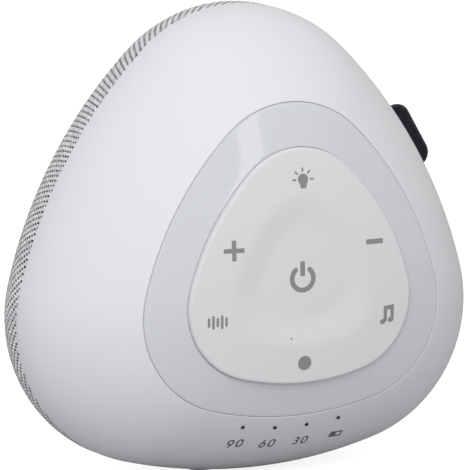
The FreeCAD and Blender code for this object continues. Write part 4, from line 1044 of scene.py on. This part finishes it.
# %% Hang loop
LOOP_TURN = math.radians(30)
LOOP_WIDTH = 15.1 * MM
LOOP_SHIFT = -0.25 * MM
LOOP_REACH = 51.1 * MM
LOOP_ROOT = 40.5 * MM
LOOP_CORNER = 3.0 * MM
LOOP_THICKNESS = 2.7 * MM
TAPE = 1.05 * MM
LOOP_MIDDLE = -SEAM_DEPTH + 0.3 * MM + LOOP_THICKNESS / 2
LOOP_COLUMNS = 48
LOOP_STEPS = 26
FOLD_STEPS = 14
MAP_STEP = 0.02
SWING_SHARE = 0.35


def loop_column(across):
    """Outer and inner (along, depth) line of the folded tape at a distance from its middle."""
    overrun = max(abs(across) - (LOOP_WIDTH / 2 - LOOP_CORNER), 0)
    reach = LOOP_REACH - LOOP_CORNER + math.sqrt(max(LOOP_CORNER ** 2 - overrun ** 2, 0))

    end = reach - LOOP_THICKNESS / 2
    run = [LOOP_ROOT + (end - LOOP_ROOT) * step / LOOP_STEPS for step in range(LOOP_STEPS + 1)]
    return [[(along, LOOP_MIDDLE - half) for along in run[:-1]]
            + arc(end, LOOP_MIDDLE, half, -90, 90, FOLD_STEPS)
            + [(along, LOOP_MIDDLE + half) for along in run[-2::-1]]
            for half in (LOOP_THICKNESS / 2, LOOP_THICKNESS / 2 - TAPE)]


def make_loop():
    along_axis = Vector((math.cos(LOOP_TURN), 0, math.sin(LOOP_TURN)))
    across_axis = Vector((math.sin(LOOP_TURN), 0, -math.cos(LOOP_TURN)))
    middle = across_axis * LOOP_SHIFT + Vector((0, 0, CENTRE_HEIGHT))
    points, places = [], []
    for number in range(LOOP_COLUMNS + 1):
        swing = math.sin(math.pi * (number / LOOP_COLUMNS - 0.5))
        even = 2 * number / LOOP_COLUMNS - 1
        across = LOOP_WIDTH / 2 * (SWING_SHARE * swing + (1 - SWING_SHARE) * even)
        for line in loop_column(across):
            points += [along_axis * a + across_axis * across + middle + Vector((0, d, 0)) for a, d in line]
            places += [(across, a + (MAP_STEP if d > LOOP_MIDDLE else 0)) for a, d in line]
    rows = len(line)
    faces = []
    for left in range(0, 2 * rows * LOOP_COLUMNS, 2 * rows):
        right = left + 2 * rows
        for start in (0, rows):
            faces += [(left + row, right + row, right + row + 1, left + row + 1)
                      for row in range(start, start + rows - 1)]
        faces += [(left + row, left + rows + row, right + rows + row, right + row) for row in (0, rows - 1)]
    for side in (0, 2 * rows * LOOP_COLUMNS):
        faces += [(row, row + 1, row + rows + 1, row + rows) for row in range(side, side + rows - 1)]
    piece = solid("hang_loop_tape", points, faces, "tape_black")
    piece.data.shade_smooth()
    layer = piece.data.uv_layers.new(name="cloth")
    for loop in piece.data.loops:
        layer.data[loop.index].uv = places[loop.vertex_index]
    bevel = piece.modifiers.new("soft_edges", "BEVEL")
    bevel.width = 0.3 * MM
    bevel.segments = 3
    bevel.limit_method = "ANGLE"
    bevel.angle_limit = math.radians(50)
    piece.data = baked(piece, piece.name)
    return piece


hang_loop = make_loop()
print("hang loop faces", len(hang_loop.data.polygons))

# %% [markdown]
# At the back the charging socket looks out through a rim of black plastic. The socket is a
# flattened tube of sheet steel with a thin tongue inside.

# %% Charging socket and rim


def tube(name, width, height, wall, start, end, slot, z, edge):
    """Tube with an oval section, open at both ends; edge rounds its back end."""
    rings = [(0.0, start), (0.0, end - edge), (0.6 * edge, end - 0.3 * edge), (2 * edge, end),
             (2 * wall, end), (2 * wall, start)]
    points = [(px, depth, CENTRE_HEIGHT + z + pz) for inset, depth in rings
              for px, pz in stadium(width - inset, height - inset)]
    count = len(points) // len(rings)
    faces = []
    for ring in range(len(rings)):
        here, there = ring * count, (ring + 1) % len(rings) * count
        faces += [(here + side, here + (side + 1) % count, there + (side + 1) % count, there + side)
                  for side in range(count)]
    return solid(name, points, faces, slot)


port_low, port_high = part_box("charge_port")
rim_low, rim_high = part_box("port_bezel")
charge_port = tube("charge_port_shell", PORT_WIDTH, PORT_HEIGHT, 0.3 * MM, port_low.y, port_high.y,
                   "port_steel", PORT_Z, 0.1 * MM)
port_tongue = prism("charge_port_tongue", stadium(PORT_WIDTH - 2.2 * MM, 0.7 * MM, 4),
                    port_low.y + 0.4 * MM, port_high.y - 1.0 * MM, 0, PORT_Z, "inner_black")
port_floor = prism("charge_port_floor", stadium(PORT_WIDTH - 0.5 * MM, PORT_HEIGHT - 0.5 * MM),
                   port_low.y, port_low.y + 0.8 * MM, 0, PORT_Z, "inner_black")
port_rim = tube("port_rim", PORT_WIDTH + 2.7 * MM, PORT_HEIGHT + 2.7 * MM, 1.3 * MM, rim_low.y, rim_high.y,
                "inner_black", PORT_Z, 0.35 * MM)
print("port depth", round(port_high.y / MM, 2))

# %% [markdown]
# The machine rests on a small pad of soft silicone. The pad is flat below and follows the curved
# body above.

# %% Foot pad
FOOT_REACH = 11.5 * MM
FOOT_FRONT = -2.5 * MM
FOOT_BACK = 11.5 * MM
FOOT_PLAY = 0.03 * MM
FOOT_CORNER = 3.0
FOOT_PITCH = 1.2 * MM


def body_share(depth):
    """Share of the outline that the body's outside has at a depth."""
    if depth > -SEAM_DEPTH:
        return back_point(math.asin(min(depth / BACK_DEPTH, 1)))[0]
    return 1.0


def body_floor(x, depth):
    """Height above the floor of the body's underside."""
    share = body_share(depth)
    low = search(-SIDE_REACH * 1.2, 0.0, lambda z: share_at(x, z) > share)
    return CENTRE_HEIGHT + low - FOOT_PLAY


foot_outline = [(x * MM, z * MM) for x, z in rounded_box(
    -FOOT_REACH / MM, FOOT_REACH / MM, FOOT_FRONT / MM, FOOT_BACK / MM, FOOT_CORNER, 8)]
foot_pad = front_slab("foot_pad_silicone", [foot_outline], lambda x, z: 0.0, "foot_rubber", FOOT_PITCH,
                      body_floor)
for vertex in foot_pad.data.vertices:
    vertex.co = (vertex.co.x, vertex.co.z - CENTRE_HEIGHT, vertex.co.y)
tidy_normals(foot_pad)
print("foot pad faces", len(foot_pad.data.polygons))

# %% [markdown]
# Each piece rides on the body that carries it, and the nodes of the frame that it stands for are
# hidden. Each key travels alone.

# %% Riding on the bodies


def dress(piece, body, slot, *nodes):
    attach(piece, body)
    if nodes:
        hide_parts(*nodes)


dress(front_shell, "body", "shell_white", "front_shell")
dress(light_ring, "body", "ring_plastic", "light_ring")
dress(back_fabric, "body", "fabric_grey", "back_fabric")
dress(keypad_skin, "body", "keypad_silicone", "keypad_skin")
dress(hang_loop, "body", "tape_black", "hang_loop")
dress(foot_pad, "body", "foot_rubber", "foot_pad")
dress(charge_port, "body", "port_steel", "charge_port")
dress(port_tongue, "body", "inner_black")
dress(port_floor, "body", "inner_black")
dress(port_rim, "body", "inner_black", "port_bezel")
for name, key_top in key_tops.items():
    dress(key_top, name + "_key", "keypad_silicone", name + "_key")
    dress(signs[name], name + "_key", "keypad_silicone")
for label in labels:
    dress(label, "body", "shell_white")

# %% [markdown]
# The studio: a pale floor, a world that the camera sees as white, and large soft lamps. The tall
# lamp on the left is the one whose reflection stands in the light ring.

# %% Floor and world
FLOOR_REACH = 3.0
FLOOR_GLOW = 0.85
AMBIENT = 0.60


def make_floor():
    mesh = bpy.data.meshes.new("floor")
    corners = [(x * FLOOR_REACH, y * FLOOR_REACH, 0) for x, y in ((-1, -1), (1, -1), (1, 1), (-1, 1))]
    mesh.from_pydata(corners, [], [(0, 1, 2, 3)])
    floor = link_object("floor", mesh)
    material, tree, shader = new_material("floor_paper")
    rays = add_node(tree, "ShaderNodeLightPath")
    glow = math_node(tree, "MULTIPLY", rays.outputs["Is Camera Ray"], FLOOR_GLOW)
    fill(shader.inputs, {"Base Color": (0.52, 0.52, 0.53, 1), "Roughness": 0.9, "Specular IOR Level": 0.1,
                         "Emission Color": (1, 1, 1, 1), "Emission Strength": glow})
    mesh.materials.append(material)
    return floor


def make_world():
    world = bpy.data.worlds.new("studio")
    bpy.context.scene.world = world
    world.use_nodes = True
    tree = world.node_tree
    background = next(node for node in tree.nodes if node.type == "BACKGROUND")
    rays = add_node(tree, "ShaderNodeLightPath")
    seen = math_node(tree, "MAXIMUM", rays.outputs["Is Camera Ray"], rays.outputs["Is Transmission Ray"])
    strength = math_node(tree, "MULTIPLY_ADD", seen, 1.0 - AMBIENT, AMBIENT)
    fill(background.inputs, {"Strength": strength, "Color": (1, 1, 1, 1)})


def area_lamp(name, place, aim, width, height, power, mirrored=True):
    data = bpy.data.lights.new(name, "AREA")
    data.shape = "RECTANGLE"
    data.size = width
    data.size_y = height
    data.energy = power
    lamp = link_object(name, data)
    lamp.location = place
    lamp.visible_glossy = mirrored
    lamp.rotation_euler = (Vector(aim) - Vector(place)).to_track_quat("-Z", "Y").to_euler()


make_floor()
make_world()
MIDDLE = (0, 0, CENTRE_HEIGHT)
area_lamp("key_lamp", (-0.64, -0.93, 0.85), MIDDLE, 0.7, 0.9, 8.4, mirrored=False)
area_lamp("strip_lamp", (0.035, -0.93, 0.44), MIDDLE, 0.20, 0.55, 0.5)
bpy.context.scene.view_settings.view_transform = "Standard"
